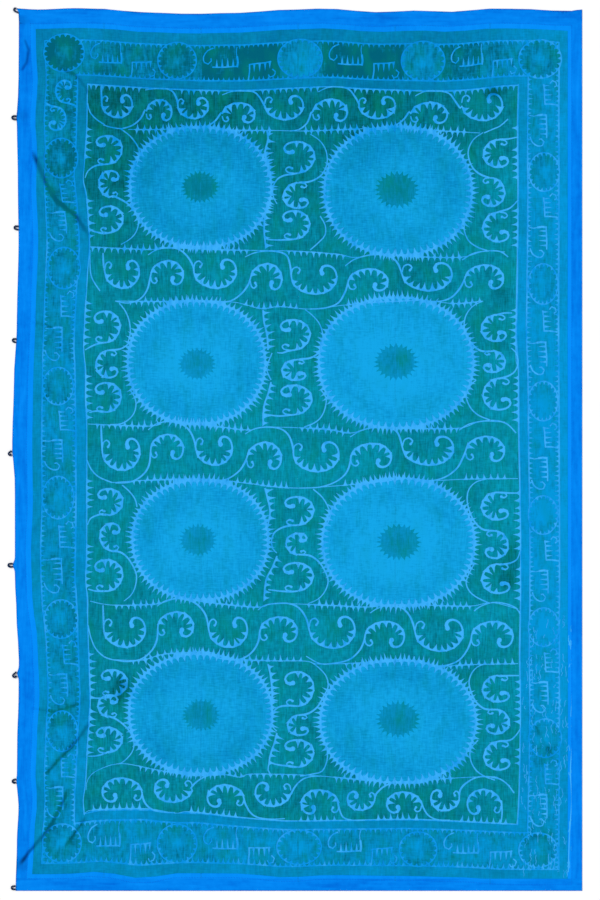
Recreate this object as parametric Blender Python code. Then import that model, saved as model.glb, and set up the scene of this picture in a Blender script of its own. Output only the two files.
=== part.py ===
"""A large embroidered wall cloth laid out flat, face up.

Six loom widths are sewn side by side, edged on all four sides with a plain
strip, and nine small cord loops for hanging are sewn to the left side.
Metres, +Z up, +X to the right and +Y to the top of the cloth.
"""

import math

import bmesh
import bpy
from mathutils import Vector

# Driving dimensions, in metres
CLOTH_WIDTH = 1.692
CLOTH_LENGTH = 2.642
PANEL_THICK = 0.0020
EDGING_THICK = 0.0015
TOP_EDGING = 0.0435
BOTTOM_EDGING = 0.0363
RIGHT_EDGING = 0.0315
SEAM_GAP = 0.0003

# The seams between the loom widths, from the line of the left side
SEAMS = (0.258, 0.549, 0.840, 1.131, 1.416)

# Where the middle of the whole lies, loops included
MIDDLE_X = 0.8308
MIDDLE_Y = 1.3178

# The hanging loops: a round cord bent to a U
CORD_RADIUS = 0.0015
LOOP_EYE = 0.0064
LOOP_BEND_STEPS = 6
EDGE_SEARCH_STEPS = 6
PULL_REACH = 0.012

# Sizes of the cells: along flat cloth, along its waved edges and over folds
FLAT_CELL = 0.220
EDGE_CELL = 0.055
FINE_CELL = 0.022
LEAST_CELL = 0.005
FOLD_MARGIN = 0.060
CORNER_ROWS = (0.0, 0.012, 0.024)
STRIP_END = 0.050

# A fold's height eases in over this share of its length, from this share of
# its crest, and is left out below the least height
FOLD_EASE = 0.25
FOLD_END = 0.25
LEAST_FOLD = 0.0002

# Outer line of the left side.
# y down from the top line, x to the right of the left line
LEFT_OUTER = (
    (-0.006, -0.006),
    (0.012, 0.002),
    (0.045, 0.003),
    (0.220, 0.002),
    (0.330, -0.003),
    (0.520, 0.000),
    (0.700, 0.002),
    (0.940, -0.003),
    (1.120, -0.012),
    (1.300, -0.017),
    (1.430, -0.009),
    (1.700, -0.009),
    (1.820, -0.004),
    (1.950, 0.003),
    (2.060, 0.002),
    (2.200, -0.002),
    (2.320, -0.003),
    (2.390, 0.002),
    (2.500, -0.003),
    (2.650, -0.007),
)

# Seam between the left edging strip and the first loom width.
# y down from the top line, x to the right of the left line
LEFT_INNER = (
    (0.000, 0.037),
    (0.120, 0.038),
    (0.210, 0.044),
    (0.330, 0.036),
    (0.450, 0.044),
    (0.520, 0.039),
    (0.690, 0.045),
    (0.900, 0.038),
    (1.140, 0.029),
    (1.300, 0.026),
    (1.480, 0.028),
    (1.620, 0.022),
    (1.760, 0.026),
    (1.900, 0.043),
    (2.060, 0.049),
    (2.160, 0.042),
    (2.300, 0.037),
    (2.370, 0.043),
    (2.480, 0.033),
    (2.650, 0.024),
)

# Outer line of the top: x to the right of the left line, y down
TOP_OUTER = (
    (-0.020, -0.005),
    (0.060, -0.001),
    (0.170, -0.005),
    (0.260, -0.003),
    (0.360, 0.007),
    (0.520, 0.012),
    (0.660, 0.009),
    (0.800, 0.000),
    (0.920, -0.004),
    (1.080, 0.007),
    (1.200, 0.002),
    (1.290, 0.006),
    (1.430, -0.004),
    (1.550, -0.002),
    (1.640, 0.005),
    (1.692, -0.001),
)

# Hanging loops: y down from the top line, reach out from the edge, slant of
# the tip downwards in degrees, and how far the edge is drawn out to the loop
LOOPS = (
    (0.0075, 0.0150, -22.0, 0.000),
    (0.327, 0.0140, 2.0, 0.002),
    (0.657, 0.0138, -4.0, 0.000),
    (0.995, 0.0125, -8.0, 0.000),
    (1.329, 0.0140, 36.0, 0.001),
    (1.667, 0.0145, 4.0, 0.007),
    (1.991, 0.0170, 40.0, 0.005),
    (2.312, 0.0132, 18.0, 0.002),
    (2.632, 0.0138, 6.0, 0.000),
)

# Soft folds: a ridge along a line of points, x and y as above, with its
# height and the half width of its round back
FOLDS = (
    (0.0045, 0.016, ((0.050, 0.436), (0.090, 0.510), (0.122, 0.570), (0.150, 0.602), (0.210, 0.668))),
    (0.0030, 0.015, ((0.218, 2.140), (0.162, 2.190), (0.126, 2.225), (0.100, 2.270))),
    (0.0040, 0.014, ((0.146, 2.360), (0.118, 2.418), (0.080, 2.470), (0.060, 2.496))),
    (0.0030, 0.014, ((0.196, 2.428), (0.158, 2.478), (0.146, 2.508))),
)


def smooth_step(share):
    return share * share * (3.0 - 2.0 * share)


def read_off(table, place):
    """The second column of a table, eased between the rows of its first."""
    if place <= table[0][0]:
        return table[0][1]
    for (start, low), (end, high) in zip(table, table[1:]):
        if place <= end:
            return low + (high - low) * smooth_step((place - start) / (end - start))
    return table[-1][1]


def left_outer(y):
    """The left side's outer line, drawn out a little at each loop."""
    x = read_off(LEFT_OUTER, y)
    for loop_y, _, _, pull in LOOPS:
        x -= pull * math.exp(-((y - loop_y) / PULL_REACH) ** 2)
    return x


def left_inner(y):
    return read_off(LEFT_INNER, y)


def sagged(x, y):
    """A y of the straight cloth, moved by the waves of its top side."""
    return y + read_off(TOP_OUTER, x) * (1.0 - min(1.0, max(0.0, y / CLOTH_LENGTH)))


def distance_to_path(x, y, path):
    """Distance to a path of points, and how far along it the foot lies, 0 to 1."""
    here = Vector((x, y))
    best = (1.0e9, 0.0)
    spans = len(path) - 1
    for index in range(spans):
        start = Vector(path[index])
        along = Vector(path[index + 1]) - start
        share = min(1.0, max(0.0, (here - start).dot(along) / along.length_squared))
        gap = (start + along * share - here).length
        if gap < best[0]:
            best = (gap, (index + share) / spans)
    return best


def fold_height(x, y):
    """How far the folds lift the cloth off the floor."""
    height = 0.0
    for crest, half_width, path in FOLDS:
        gap, along = distance_to_path(x, y, path)
        if gap < 3.0 * half_width:
            taper = smooth_step(min(1.0, min(along, 1.0 - along) / FOLD_EASE + FOLD_END))
            height += crest * taper * math.exp(-((gap / half_width) ** 2))
    return height if height > LEAST_FOLD else 0.0


def to_world(x, y, z=0.0):
    return Vector((x - MIDDLE_X, MIDDLE_Y - y, z))


def spread(start, end, cell):
    """Even stations from start to end, at most a cell apart."""
    count = max(1, math.ceil((end - start) / cell - 1.0e-6))
    return [start + (end - start) * step / count for step in range(count + 1)]


def side_rows():
    """Rows shared by the left strip and the first loom width."""
    marks = {TOP_EDGING, CLOTH_LENGTH - BOTTOM_EDGING}
    for _, _, path in FOLDS:
        ys = [point[1] for point in path]
        marks.update(spread(min(ys) - FOLD_MARGIN, max(ys) + FOLD_MARGIN, FINE_CELL))
    for loop_y, _, _, _ in LOOPS[1:-1]:
        marks.update(loop_y + PULL_REACH * step / 2.0 for step in range(-4, 5))
    marks.update(spread(TOP_EDGING, CLOTH_LENGTH - BOTTOM_EDGING, EDGE_CELL))
    rows = []
    for mark in sorted(marks):
        crowded = rows and mark - rows[-1] < LEAST_CELL
        if not crowded or mark == CLOTH_LENGTH - BOTTOM_EDGING:
            if crowded:
                rows.pop()
            rows.append(mark)
    return [row for row in rows if row <= CLOTH_LENGTH - BOTTOM_EDGING]


def panel_bounds():
    """Left and right seam of each loom width, as functions of y."""
    lines = [left_inner]
    lines += [lambda y, x=seam: x for seam in SEAMS]
    lines.append(lambda y: CLOTH_WIDTH - RIGHT_EDGING)
    return list(zip(lines, lines[1:]))


def shares(count):
    return [step / count for step in range(count + 1)]


def panel_shares(index):
    """Columns of a loom width: the creased first one has the finest."""
    left, right = panel_bounds()[index]
    width = right(TOP_EDGING) - left(TOP_EDGING)
    cell = FINE_CELL if index == 0 else EDGE_CELL
    return shares(round(width / cell))


def cloth_material(name, colour, roughness):
    material = bpy.data.materials.new(name)
    material.use_nodes = True
    shader = material.node_tree.nodes["Principled BSDF"]
    shader.inputs["Base Color"].default_value = (*colour, 1.0)
    shader.inputs["Roughness"].default_value = roughness
    shader.inputs["Metallic"].default_value = 0.0
    material.diffuse_color = (*colour, 1.0)
    return material


def add_sheet(collection, name, lattice, thickness, material):
    """A sheet of cloth on a lattice of (x, y) rows, lifted by the folds.

    It starts as a flat grid, is thickened straight up, and its points then
    move to their places in the lattice.
    """
    row_count = len(lattice)
    column_count = len(lattice[0])
    mesh = bpy.data.meshes.new(name)
    shape = bmesh.new()
    bmesh.ops.create_grid(
        shape,
        x_segments=column_count - 1,
        y_segments=row_count - 1,
        size=0.5,
    )
    bottom = list(shape.faces)
    grown = bmesh.ops.extrude_face_region(shape, geom=bottom, use_keep_orig=True)
    for item in grown["geom"]:
        if isinstance(item, bmesh.types.BMVert):
            item.co.z = thickness
    for vertex in shape.verts:
        column = round((vertex.co.x + 0.5) * (column_count - 1))
        row = round((0.5 - vertex.co.y) * (row_count - 1))
        x, y = lattice[row][column]
        vertex.co = to_world(x, y, vertex.co.z + fold_height(x, y))
    bmesh.ops.recalc_face_normals(shape, faces=shape.faces)
    shape.to_mesh(mesh)
    shape.free()
    mesh.materials.append(material)
    piece = bpy.data.objects.new(name, mesh)
    collection.objects.link(piece)
    return piece


def add_panel(collection, index, rows, material):
    """One loom width of the embroidered ground."""
    left, right = panel_bounds()[index]
    half_gap = SEAM_GAP / 2.0
    lattice = []
    for row, y in enumerate(rows):
        start = left(y) + half_gap
        end = right(y) - half_gap
        if row == 0:
            y += half_gap
        if row == len(rows) - 1:
            y -= half_gap
        xs = [start + (end - start) * share for share in panel_shares(index)]
        lattice.append([(x, sagged(x, y)) for x in xs])
    return add_sheet(collection, f"panel_{index + 1}", lattice, PANEL_THICK, material)


def add_side_strip(collection, name, outer, inner, rows, material):
    """The edging between the top and bottom strips, at the left or right."""
    half_gap = SEAM_GAP / 2.0
    lattice = []
    for row, y in enumerate(rows):
        away = math.copysign(half_gap, outer(y) - inner(y))
        start, end = sorted((outer(y), inner(y) + away))
        if row == 0:
            y += half_gap
        if row == len(rows) - 1:
            y -= half_gap
        xs = [start + (end - start) * share for share in shares(2)]
        lattice.append([(x, sagged(x, y)) for x in xs])
    return add_sheet(collection, name, lattice, EDGING_THICK, material)


def long_strip_columns():
    """Column places of the top strip, on those of all the pieces below it."""
    inner = left_inner(TOP_EDGING)
    right = CLOTH_WIDTH - RIGHT_EDGING
    half_gap = SEAM_GAP / 2.0
    columns = [(left_outer(TOP_EDGING) + inner) / 2.0, inner]
    for index, (start, end) in enumerate(panel_bounds()):
        low = start(TOP_EDGING) + half_gap
        high = end(TOP_EDGING) - half_gap
        columns += [low + (high - low) * share for share in panel_shares(index)]
    columns += [right, (right + CLOTH_WIDTH) / 2.0, CLOTH_WIDTH]
    return columns


def long_strip_rows(side):
    """Rows of the strip along the top or the bottom."""
    half_gap = SEAM_GAP / 2.0
    if side == "top":
        return [*CORNER_ROWS, TOP_EDGING - half_gap]
    return [CLOTH_LENGTH - BOTTOM_EDGING + half_gap, CLOTH_LENGTH]


def add_long_strip(collection, side, material):
    """The top or bottom edging, running the cloth's whole width."""
    columns = long_strip_columns() if side == "top" else [STRIP_END, *SEAMS, CLOTH_WIDTH]
    lattice = []
    for y in long_strip_rows(side):
        xs = [left_outer(y)] + columns
        lattice.append([(x, sagged(x, y)) for x in xs])
    return add_sheet(collection, f"edging_{side}", lattice, EDGING_THICK, material)


def edge_as_cut(y):
    """The left side's outer line as its straight cells give it."""
    rows = [*long_strip_rows("top"), *side_rows(), *long_strip_rows("bottom")]
    for start, end in zip(rows, rows[1:]):
        if y <= end:
            share = max(0.0, (y - start) / (end - start))
            return left_outer(start) + (left_outer(end) - left_outer(start)) * share
    return left_outer(rows[-1])


def outermost_edge(y):
    """How far out the left edge comes over the width of a cord."""
    return min(edge_as_cut(y + step * CORD_RADIUS) for step in (-1.0, 0.0, 1.0))


def loop_route(y, reach, slant):
    """Centre line of one loop: leg, round end and leg, in cloth measure."""
    tilt = math.radians(slant)
    outward = Vector((-math.cos(tilt), math.sin(tilt)))
    sideways = Vector((-outward.y, outward.x))
    root = Vector((edge_as_cut(y), y))
    bend = LOOP_EYE / 2.0 + CORD_RADIUS
    turn = root + outward * (reach - bend - CORD_RADIUS)
    clear = SEAM_GAP + CORD_RADIUS * abs(math.sin(tilt))
    route = []
    for side in (1.0, -1.0):
        foot = turn + sideways * bend * side
        end = foot
        for _ in range(EDGE_SEARCH_STEPS):
            edge = outermost_edge(end.y) - clear
            end = foot + outward * min(-SEAM_GAP, (edge - foot.x) / outward.x)
        route.append(end)
    first, last = route
    arc = []
    for step in range(LOOP_BEND_STEPS + 1):
        angle = math.pi * step / LOOP_BEND_STEPS
        swing = sideways * math.cos(angle) + outward * math.sin(angle)
        arc.append(turn + swing * bend)
    sag = Vector((0.0, sagged(root.x, y) - y))
    return [point + sag for point in (first, *arc, last)]


def add_loop(collection, number, y, reach, slant, material):
    name = f"loop_{number}"
    curve = bpy.data.curves.new(name, "CURVE")
    curve.dimensions = "3D"
    curve.bevel_depth = CORD_RADIUS
    curve.bevel_resolution = 2
    curve.use_fill_caps = True
    route = loop_route(y, reach, slant)
    spline = curve.splines.new("POLY")
    spline.points.add(len(route) - 1)
    for point, place in zip(spline.points, route):
        point.co = (*to_world(place.x, place.y, CORD_RADIUS), 1.0)
    curve.materials.append(material)
    piece = bpy.data.objects.new(name, curve)
    collection.objects.link(piece)
    return piece


def clear_scene():
    for item in list(bpy.data.objects):
        bpy.data.objects.remove(item, do_unlink=True)


def main():
    clear_scene()
    collection = bpy.data.collections.new("embroidered_cloth")
    bpy.context.scene.collection.children.link(collection)
    stitching = cloth_material("stitched_cloth", (0.006, 0.216, 0.332), 0.78)
    edging = cloth_material("edging_cloth", (0.002, 0.212, 0.831), 0.80)
    cord = cloth_material("loop_cord", (0.004, 0.045, 0.130), 0.85)

    fine_rows = side_rows()
    coarse_rows = spread(TOP_EDGING, CLOTH_LENGTH - BOTTOM_EDGING, FLAT_CELL)
    for index in range(len(SEAMS) + 1):
        add_panel(collection, index, fine_rows if index == 0 else coarse_rows, stitching)

    add_long_strip(collection, "top", edging)
    add_long_strip(collection, "bottom", edging)
    add_side_strip(collection, "edging_left", left_outer, left_inner, fine_rows, edging)
    add_side_strip(
        collection,
        "edging_right",
        lambda y: CLOTH_WIDTH,
        lambda y: CLOTH_WIDTH - RIGHT_EDGING,
        coarse_rows,
        edging,
    )
    for number, (y, reach, slant, _) in enumerate(LOOPS, start=1):
        add_loop(collection, number, y, reach, slant, cord)


main()
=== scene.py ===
"""Looks of a large embroidered wall cloth, laid out flat and seen from above.

Six loom widths carry silk filling stitch: two columns of four discs in a
ground of scrolling stems, inside a border of rosettes and stepped combs.
The pattern is charted in squares of 3 mm and cut into the cloth's
mesh, so that each stitched shape stands a little above the open ground.
"""

import math
import random

import bpy
from bpy.props import FloatProperty, FloatVectorProperty, IntProperty, PointerProperty
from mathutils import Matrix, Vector
from mathutils.geometry import delaunay_2d_cdt


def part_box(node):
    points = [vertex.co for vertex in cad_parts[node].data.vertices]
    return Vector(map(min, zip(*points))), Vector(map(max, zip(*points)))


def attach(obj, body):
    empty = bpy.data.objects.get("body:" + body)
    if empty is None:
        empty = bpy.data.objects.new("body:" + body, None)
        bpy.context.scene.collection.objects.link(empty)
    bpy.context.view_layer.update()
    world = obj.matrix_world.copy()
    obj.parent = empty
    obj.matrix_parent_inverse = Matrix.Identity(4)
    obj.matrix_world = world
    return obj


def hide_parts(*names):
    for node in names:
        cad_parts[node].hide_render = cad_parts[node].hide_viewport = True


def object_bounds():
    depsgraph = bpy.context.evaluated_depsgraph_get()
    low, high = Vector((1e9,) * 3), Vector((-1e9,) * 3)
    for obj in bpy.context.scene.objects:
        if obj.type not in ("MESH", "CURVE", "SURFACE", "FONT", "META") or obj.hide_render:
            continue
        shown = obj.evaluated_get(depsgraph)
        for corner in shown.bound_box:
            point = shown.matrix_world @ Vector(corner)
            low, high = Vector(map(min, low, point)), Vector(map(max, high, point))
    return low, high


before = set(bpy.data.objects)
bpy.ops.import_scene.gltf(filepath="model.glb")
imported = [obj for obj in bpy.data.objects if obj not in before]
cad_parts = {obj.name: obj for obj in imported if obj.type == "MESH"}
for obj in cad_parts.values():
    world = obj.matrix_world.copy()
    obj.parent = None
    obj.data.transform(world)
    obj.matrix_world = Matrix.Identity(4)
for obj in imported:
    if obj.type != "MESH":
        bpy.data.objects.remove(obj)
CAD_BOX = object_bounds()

bl_info = {
    "name": "Embroidered Cloth",
    "version": (1, 0, 0),
    "blender": (4, 5, 0),
    "location": "View3D > Sidebar > Cloth",
    "description": "Lays out a large wall cloth with scrolling stems, discs and a rosette border",
    "category": "Add Mesh",
}

ROW_BODY = "root"
MILLIMETRE = 0.001

# The chart: squares of 3 mm, and where its corner lies from the cloth's
SQUARE = 0.003
CHART_LEFT = 18.0
CHART_TOP = 10.0
CHART_MIDDLE = (300.0, 450.0)
CHART_HEIGHT = 900.0

# The cloth, in metres: where its left and top lines lie, and its strips
LEFT_LINE = -0.8308
TOP_LINE = 1.3178
CLOTH_LENGTH = 2.642
CLOTH_WIDTH = 1.692
TOP_EDGING = 0.0435
BOTTOM_EDGING = 0.0363
RIGHT_SEAM = 1.6605

# Seams between the loom widths, in metres from the left line
LOOM_SEAMS = (0.258, 0.549, 0.840, 1.131, 1.416)

# Outer line of the top: x to the right of the left line, y down, in metres
TOP_OUTER = (
    (-0.020, -0.005), (0.060, -0.001), (0.170, -0.005), (0.260, -0.003),
    (0.360, 0.007), (0.520, 0.012), (0.660, 0.009), (0.800, 0.000),
    (0.920, -0.004), (1.080, 0.007), (1.200, 0.002), (1.290, 0.006),
    (1.430, -0.004), (1.550, -0.002), (1.640, 0.005), (1.692, -0.001),
)

# Seam beside the left edging strip: y down from the top line, x, in metres
LEFT_INNER = (
    (0.000, 0.037), (0.120, 0.038), (0.210, 0.044), (0.330, 0.036),
    (0.450, 0.044), (0.520, 0.039), (0.690, 0.045), (0.900, 0.038),
    (1.140, 0.029), (1.300, 0.026), (1.480, 0.028), (1.620, 0.022),
    (1.760, 0.026), (1.900, 0.043), (2.060, 0.049), (2.160, 0.042),
    (2.300, 0.037), (2.370, 0.043), (2.480, 0.033), (2.650, 0.024),
)

# Soft folds of the solids: crest height, half width, and points x, y down
FOLDS = (
    (0.0045, 0.016, ((0.050, 0.436), (0.090, 0.510), (0.122, 0.570), (0.150, 0.602), (0.210, 0.668))),
    (0.0030, 0.015, ((0.218, 2.140), (0.162, 2.190), (0.126, 2.225), (0.100, 2.270))),
    (0.0040, 0.014, ((0.146, 2.360), (0.118, 2.418), (0.080, 2.470), (0.060, 2.496))),
    (0.0030, 0.014, ((0.196, 2.428), (0.158, 2.478), (0.146, 2.508))),
)
FOLD_EASE = 0.25
FOLD_END = 0.25
LEAST_FOLD = 0.0002
FOLD_NEAR = (0.3, 0.4)
FOLD_REACH = 3.0

# Sharp creases in the cloth's face: depth and half width in metres, how dark
# the painted shade in them is, and points on the chart
CREASES = (
    (0.0018, 0.0075, 1.55, ((32, 150), (40, 168), (46, 183), (56, 200), (66, 208), (77, 217), (92, 240))),
    (0.0014, 0.0055, 1.3, ((92, 720), (80, 737), (67, 752), (55, 764), (45, 776))),
    (0.0018, 0.0062, 1.6, ((70, 788), (61, 806), (52, 824), (38, 842), (29, 852), (19, 866))),
    (0.0014, 0.0055, 1.2, ((86, 817), (76, 832), (64, 848))),
    (0.0010, 0.0055, 0.7, ((528, 712), (541, 735), (554, 759))),
    (0.0009, 0.0045, 0.8, ((32, 322), (44, 325), (53, 328))),
    (0.0009, 0.0045, 0.8, ((24, 38), (29, 50), (27, 62), (21, 72))),
    (0.0009, 0.0045, 0.7, ((62, 70), (74, 74), (82, 82), (90, 95))),
    (0.0008, 0.0045, 0.8, ((30, 708), (55, 712), (84, 702))),
)
CREASE_REACH = 2.2
CREASE_EASE = 8.0
CREASE_END = 0.15
LEAST_CLOTH = 0.00035

# Outer line of the left side: y down from the top line, x, in metres
LEFT_OUTER = (
    (-0.006, -0.006), (0.012, 0.002), (0.045, 0.003), (0.220, 0.002),
    (0.330, -0.003), (0.520, 0.000), (0.700, 0.002), (0.940, -0.003),
    (1.120, -0.012), (1.300, -0.017), (1.430, -0.009), (1.700, -0.009),
    (1.820, -0.004), (1.950, 0.003), (2.060, 0.002), (2.200, -0.002),
    (2.320, -0.003), (2.390, 0.002), (2.500, -0.003), (2.650, -0.007),
)

# Hanging loops: y down from the top line, reach, slant of the tip downwards
# in degrees, and how far the edge is drawn out to the loop
LOOPS = (
    (0.0075, 0.0150, -22.0, 0.000),
    (0.327, 0.0140, 2.0, 0.002),
    (0.657, 0.0138, -4.0, 0.000),
    (0.995, 0.0125, -8.0, 0.000),
    (1.329, 0.0140, 36.0, 0.001),
    (1.667, 0.0145, 4.0, 0.007),
    (1.991, 0.0170, 40.0, 0.005),
    (2.312, 0.0132, 18.0, 0.002),
    (2.632, 0.0138, 6.0, 0.000),
)
PULL_REACH = 0.012
CORD_RADIUS = 0.0015
LOOP_EYE = 0.0064
LOOP_CLEARANCE = 0.0003
LOOP_FIT_STEPS = 6
LOOP_BEND_STEPS = 12

# Stitches of the seams: pitch, length, width and lean of a stitch, and its foot
# above the floor, in metres; then how far a stitch stands up
LOOM_STITCH = (0.0042, 0.0036, 0.0009, 0.35, 0.0017)
EDGING_STITCH = (0.0048, 0.0036, 0.0010, 0.35, 0.0014)
STITCH_RISE = 0.0006
BAR_FACES = ((3, 2, 1, 0), (4, 5, 6, 7), (0, 1, 5, 4), (1, 2, 6, 5), (2, 3, 7, 6), (3, 0, 4, 7))

# The loops' two plies: radius of each, its path round the cord, and the lay
PLY_RADIUS = 0.00180
PLY_OFFSET = 0.00120
PLY_LAY = 0.0075
PLY_SIDES = 6
CORD_STEP = 0.0009

# Kinds of surface on the embroidered widths
GROUND = 0
FIELD = 1
DISC = 2
HEART = 3
BAND = 4
STRIPE = 5
MARGIN = 6

# How pale the open ground of the drawn lines is, then half widths of lines
DRAWN_TONE = 0.7
THIN_LINE = 0.70
CROSS_LINE = 0.45
SIDE_LINE = 0.35
COLUMN_LINE = 0.9
STEM_LINE = (0.45, 1.05)

# One scrolling curl: across, down and half width, for a cup of half size 1
# that opens up and has its stem at the left
CURL = (
    (-1.00, -0.06, 0.85), (-0.86, 0.42, 0.95), (-0.45, 0.84, 0.9), (0.10, 1.00, 0.8),
    (0.63, 0.78, 0.85), (0.97, 0.20, 1.0), (0.99, -0.38, 1.0), (0.84, -0.80, 1.0),
    (0.59, -0.96, 1.15), (0.38, -0.86, 1.5), (0.31, -0.62, 1.9), (0.36, -0.42, 2.2),
)
CURL_END = 2.5
VOLUTE = (
    (-1.02, -0.30, 0.7), (-0.95, -0.72, 0.8), (-0.76, -0.86, 0.8),
    (-0.62, -0.66, 0.9), (-0.70, -0.45, 1.1),
)
VOLUTE_END = 1.4
CURL_COMB = (0, 6)

# Teeth of a comb: pitch, height and width of the root, in squares
CURL_TEETH = (7.9, 7.4, 9.6)
DOWN_TEETH = (6.1, 5.4, 5.8)
UP_TEETH = (6.4, 6.6, 5.6)
SIDE_TEETH = (6.8, 6.8, 6.8)
COLUMN_TEETH = (6.8, 7.6, 7.4)
RIM_TEETH = (4.7, 7.0, 5.8)
EDGE_TEETH = (5.0, 4.2, 3.8)
BOTTOM_TEETH = (5.0, 5.6, 4.6)

# A tooth's outline: across from -1 to 1 and up from 0 to 1
TOOTH = (
    (-1.0, -0.12), (1.0, -0.12), (0.62, 0.10), (0.34, 0.32), (0.12, 0.72),
    (0.0, 1.0), (-0.12, 0.72), (-0.34, 0.32), (-0.62, 0.10),
)

# How a curl is turned: x from across, x from down, y from across, y from down
TURNS = {
    "cup": (1, 0, 0, 1),
    "arch": (1, 0, 0, -1),
    "cup_back": (-1, 0, 0, 1),
    "arch_back": (-1, 0, 0, -1),
    "left_rising": (0, 1, -1, 0),
    "right_rising": (0, -1, -1, 0),
    "left_falling": (0, 1, 1, 0),
    "right_falling": (0, -1, 1, 0),
}

# Curls of the cross bands: turn, middle, half size, and points of the stem
BAND_CURLS = (
    ("cup", (117, 106), (15, 11.5), ((101, 86), (101.5, 95))),
    ("cup", (193, 108), (15, 10.5), ((145, 90), (158, 88.5), (167, 89), (173, 92), (177, 100))),
    ("cup", (284, 107.5), (19, 12), ((222, 95), (232, 91.5), (243, 91), (254, 92), (260, 98), (264, 105))),
    ("cup", (377, 107.5), (18, 11), ((318, 92), (328, 87.5), (340, 87), (349, 89.5), (355, 97),
        (359, 104))),
    ("cup", (482, 107), (20, 13.5), ((415, 96), (425, 91.5), (438, 91), (449, 93.5), (455, 101),
        (460, 108))),
    ("arch", (159, 110.5), (12.5, 10.5), ((103, 125), (112, 127.5), (122, 128.5), (133, 125), (141, 118),
        (145, 110))),
    ("arch", (238.5, 113), (16, 10), ((180, 125), (193, 128), (205, 127), (215, 121), (221, 113))),
    ("arch", (330, 110.5), (17, 11), ((290, 131), (299, 129.5), (307, 123), (311, 113))),
    ("arch", (429, 113), (18, 10.5), ((362, 127), (378, 129.5), (392, 127), (403, 120), (409, 112))),
    ("cup", (122, 274), (17, 14), ((103, 253), (103.5, 263))),
    ("cup", (215, 273.5), (21, 14.5), ((148, 255), (156, 250), (166, 248), (178, 249), (187, 256),
        (193, 266))),
    ("cup", (314, 279.5), (22.5, 14.5), ((245, 257), (254, 253), (266, 251), (279, 252), (287, 256),
        (290.5, 268))),
    ("cup", (427, 276.5), (24.5, 14), ((345, 266), (354, 259.5), (367, 255.5), (380, 254.5), (391, 257),
        (398, 264))),
    ("arch", (167, 273), (16, 12), ((115, 301), (128, 303), (140, 299), (147, 290), (150, 279))),
    ("arch", (266, 277), (15.5, 13), ((195, 300), (213, 302.5), (230, 301), (241, 294), (248, 285))),
    ("arch", (368, 280), (19.5, 11), ((310, 309), (325, 308), (338, 303), (345, 292))),
    ("arch", (484, 277), (19, 12), ((420, 300), (438, 301.5), (451, 297.5), (460, 288))),
    ("cup", (121, 454), (18.5, 16), ((101, 424), (101.5, 437))),
    ("cup", (214, 450.5), (18, 14.5), ((148, 430), (156, 424), (167, 421.5), (180, 423.5), (189, 430),
        (194, 440))),
    ("cup", (316, 456.5), (22.5, 15), ((245, 434), (254, 429), (267, 427), (281, 429), (289, 436),
        (293, 448))),
    ("cup", (428, 450.5), (25, 14.5), ((350, 437), (360, 431), (373, 427.5), (388, 427.5), (397, 432),
        (401, 442))),
    ("arch", (167, 447), (16, 12.5), ((115, 483), (130, 482), (142, 475.5), (149, 465))),
    ("arch", (264, 456), (17, 13.5), ((213, 481), (227, 479), (239, 471), (245, 462))),
    ("arch", (371, 455.5), (20, 12), ((300, 488), (320, 487), (336, 481.5), (346, 473), (350, 463))),
    ("arch", (485, 449), (19, 12.5), ((410, 478), (430, 480.5), (445, 477), (457, 468), (463, 457))),
    ("cup", (124.5, 632), (20.5, 15), ((103, 605), (103.5, 618))),
    ("cup", (228, 632), (19, 15), ((157, 606), (166, 600.5), (178, 598.5), (190, 600.5), (199, 606),
        (206, 616))),
    ("cup", (332, 632), (22.5, 16), ((258, 610), (264, 605.5), (275, 603.5), (289, 603.5), (299, 608),
        (306, 618))),
    ("cup", (439, 635), (23.5, 16), ((370, 613), (378, 608), (390, 605), (402, 608), (409, 615),
        (413, 624))),
    ("arch", (175.5, 624.5), (17.5, 12.5), ((112, 659.5), (128, 661.5), (142, 658.5), (152, 650),
        (157, 639))),
    ("arch", (278.5, 629.5), (18.5, 12.5), ((207, 651), (216, 657), (229, 659.5), (242, 658.5), (252, 652),
        (258, 642))),
    ("arch", (384.5, 634.5), (19.5, 13), ((306, 656), (320, 663.5), (335, 663), (349, 659.5), (359, 651),
        (364, 641))),
    ("arch", (492, 634.5), (20.5, 13), ((420, 660), (432, 665.5), (447, 665), (459, 660), (467, 650),
        (471, 640))),
    ("arch_back", (122, 790), (19.5, 12), ((175, 812.5), (160, 811.5), (150, 808), (144, 801))),
    ("cup_back", (173.5, 790.5), (18.5, 11.5), ((224, 774.5), (212, 774.5), (202, 778), (195, 783),
        (191, 788))),
    ("arch_back", (225.5, 796), (18, 11), ((285, 818.5), (270, 819), (257, 817), (250, 812), (245, 803))),
    ("cup_back", (273, 794), (17.5, 12), ((320, 776), (308, 777), (300, 781), (294, 788), (290.5, 795))),
    ("arch_back", (320, 802), (18.5, 12), ((365, 820), (352, 820), (343, 817), (339, 808), (337.5, 800))),
    ("cup_back", (361, 800.5), (13.5, 9.5), ((420, 783), (405, 781.5), (392, 783), (383, 787), (376, 794))),
    ("arch_back", (404, 802.5), (17, 10.5), ((450, 820), (437, 819.5), (428, 815), (423, 807),
        (420.5, 800))),
    ("cup_back", (445, 800), (14, 10.5), ((500, 779), (488, 776.5), (476, 777.5), (466, 783), (460, 790))),
    ("arch_back", (484, 802), (16.5, 12.5), ((501, 822), (502, 812), (501, 800))),
)

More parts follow.
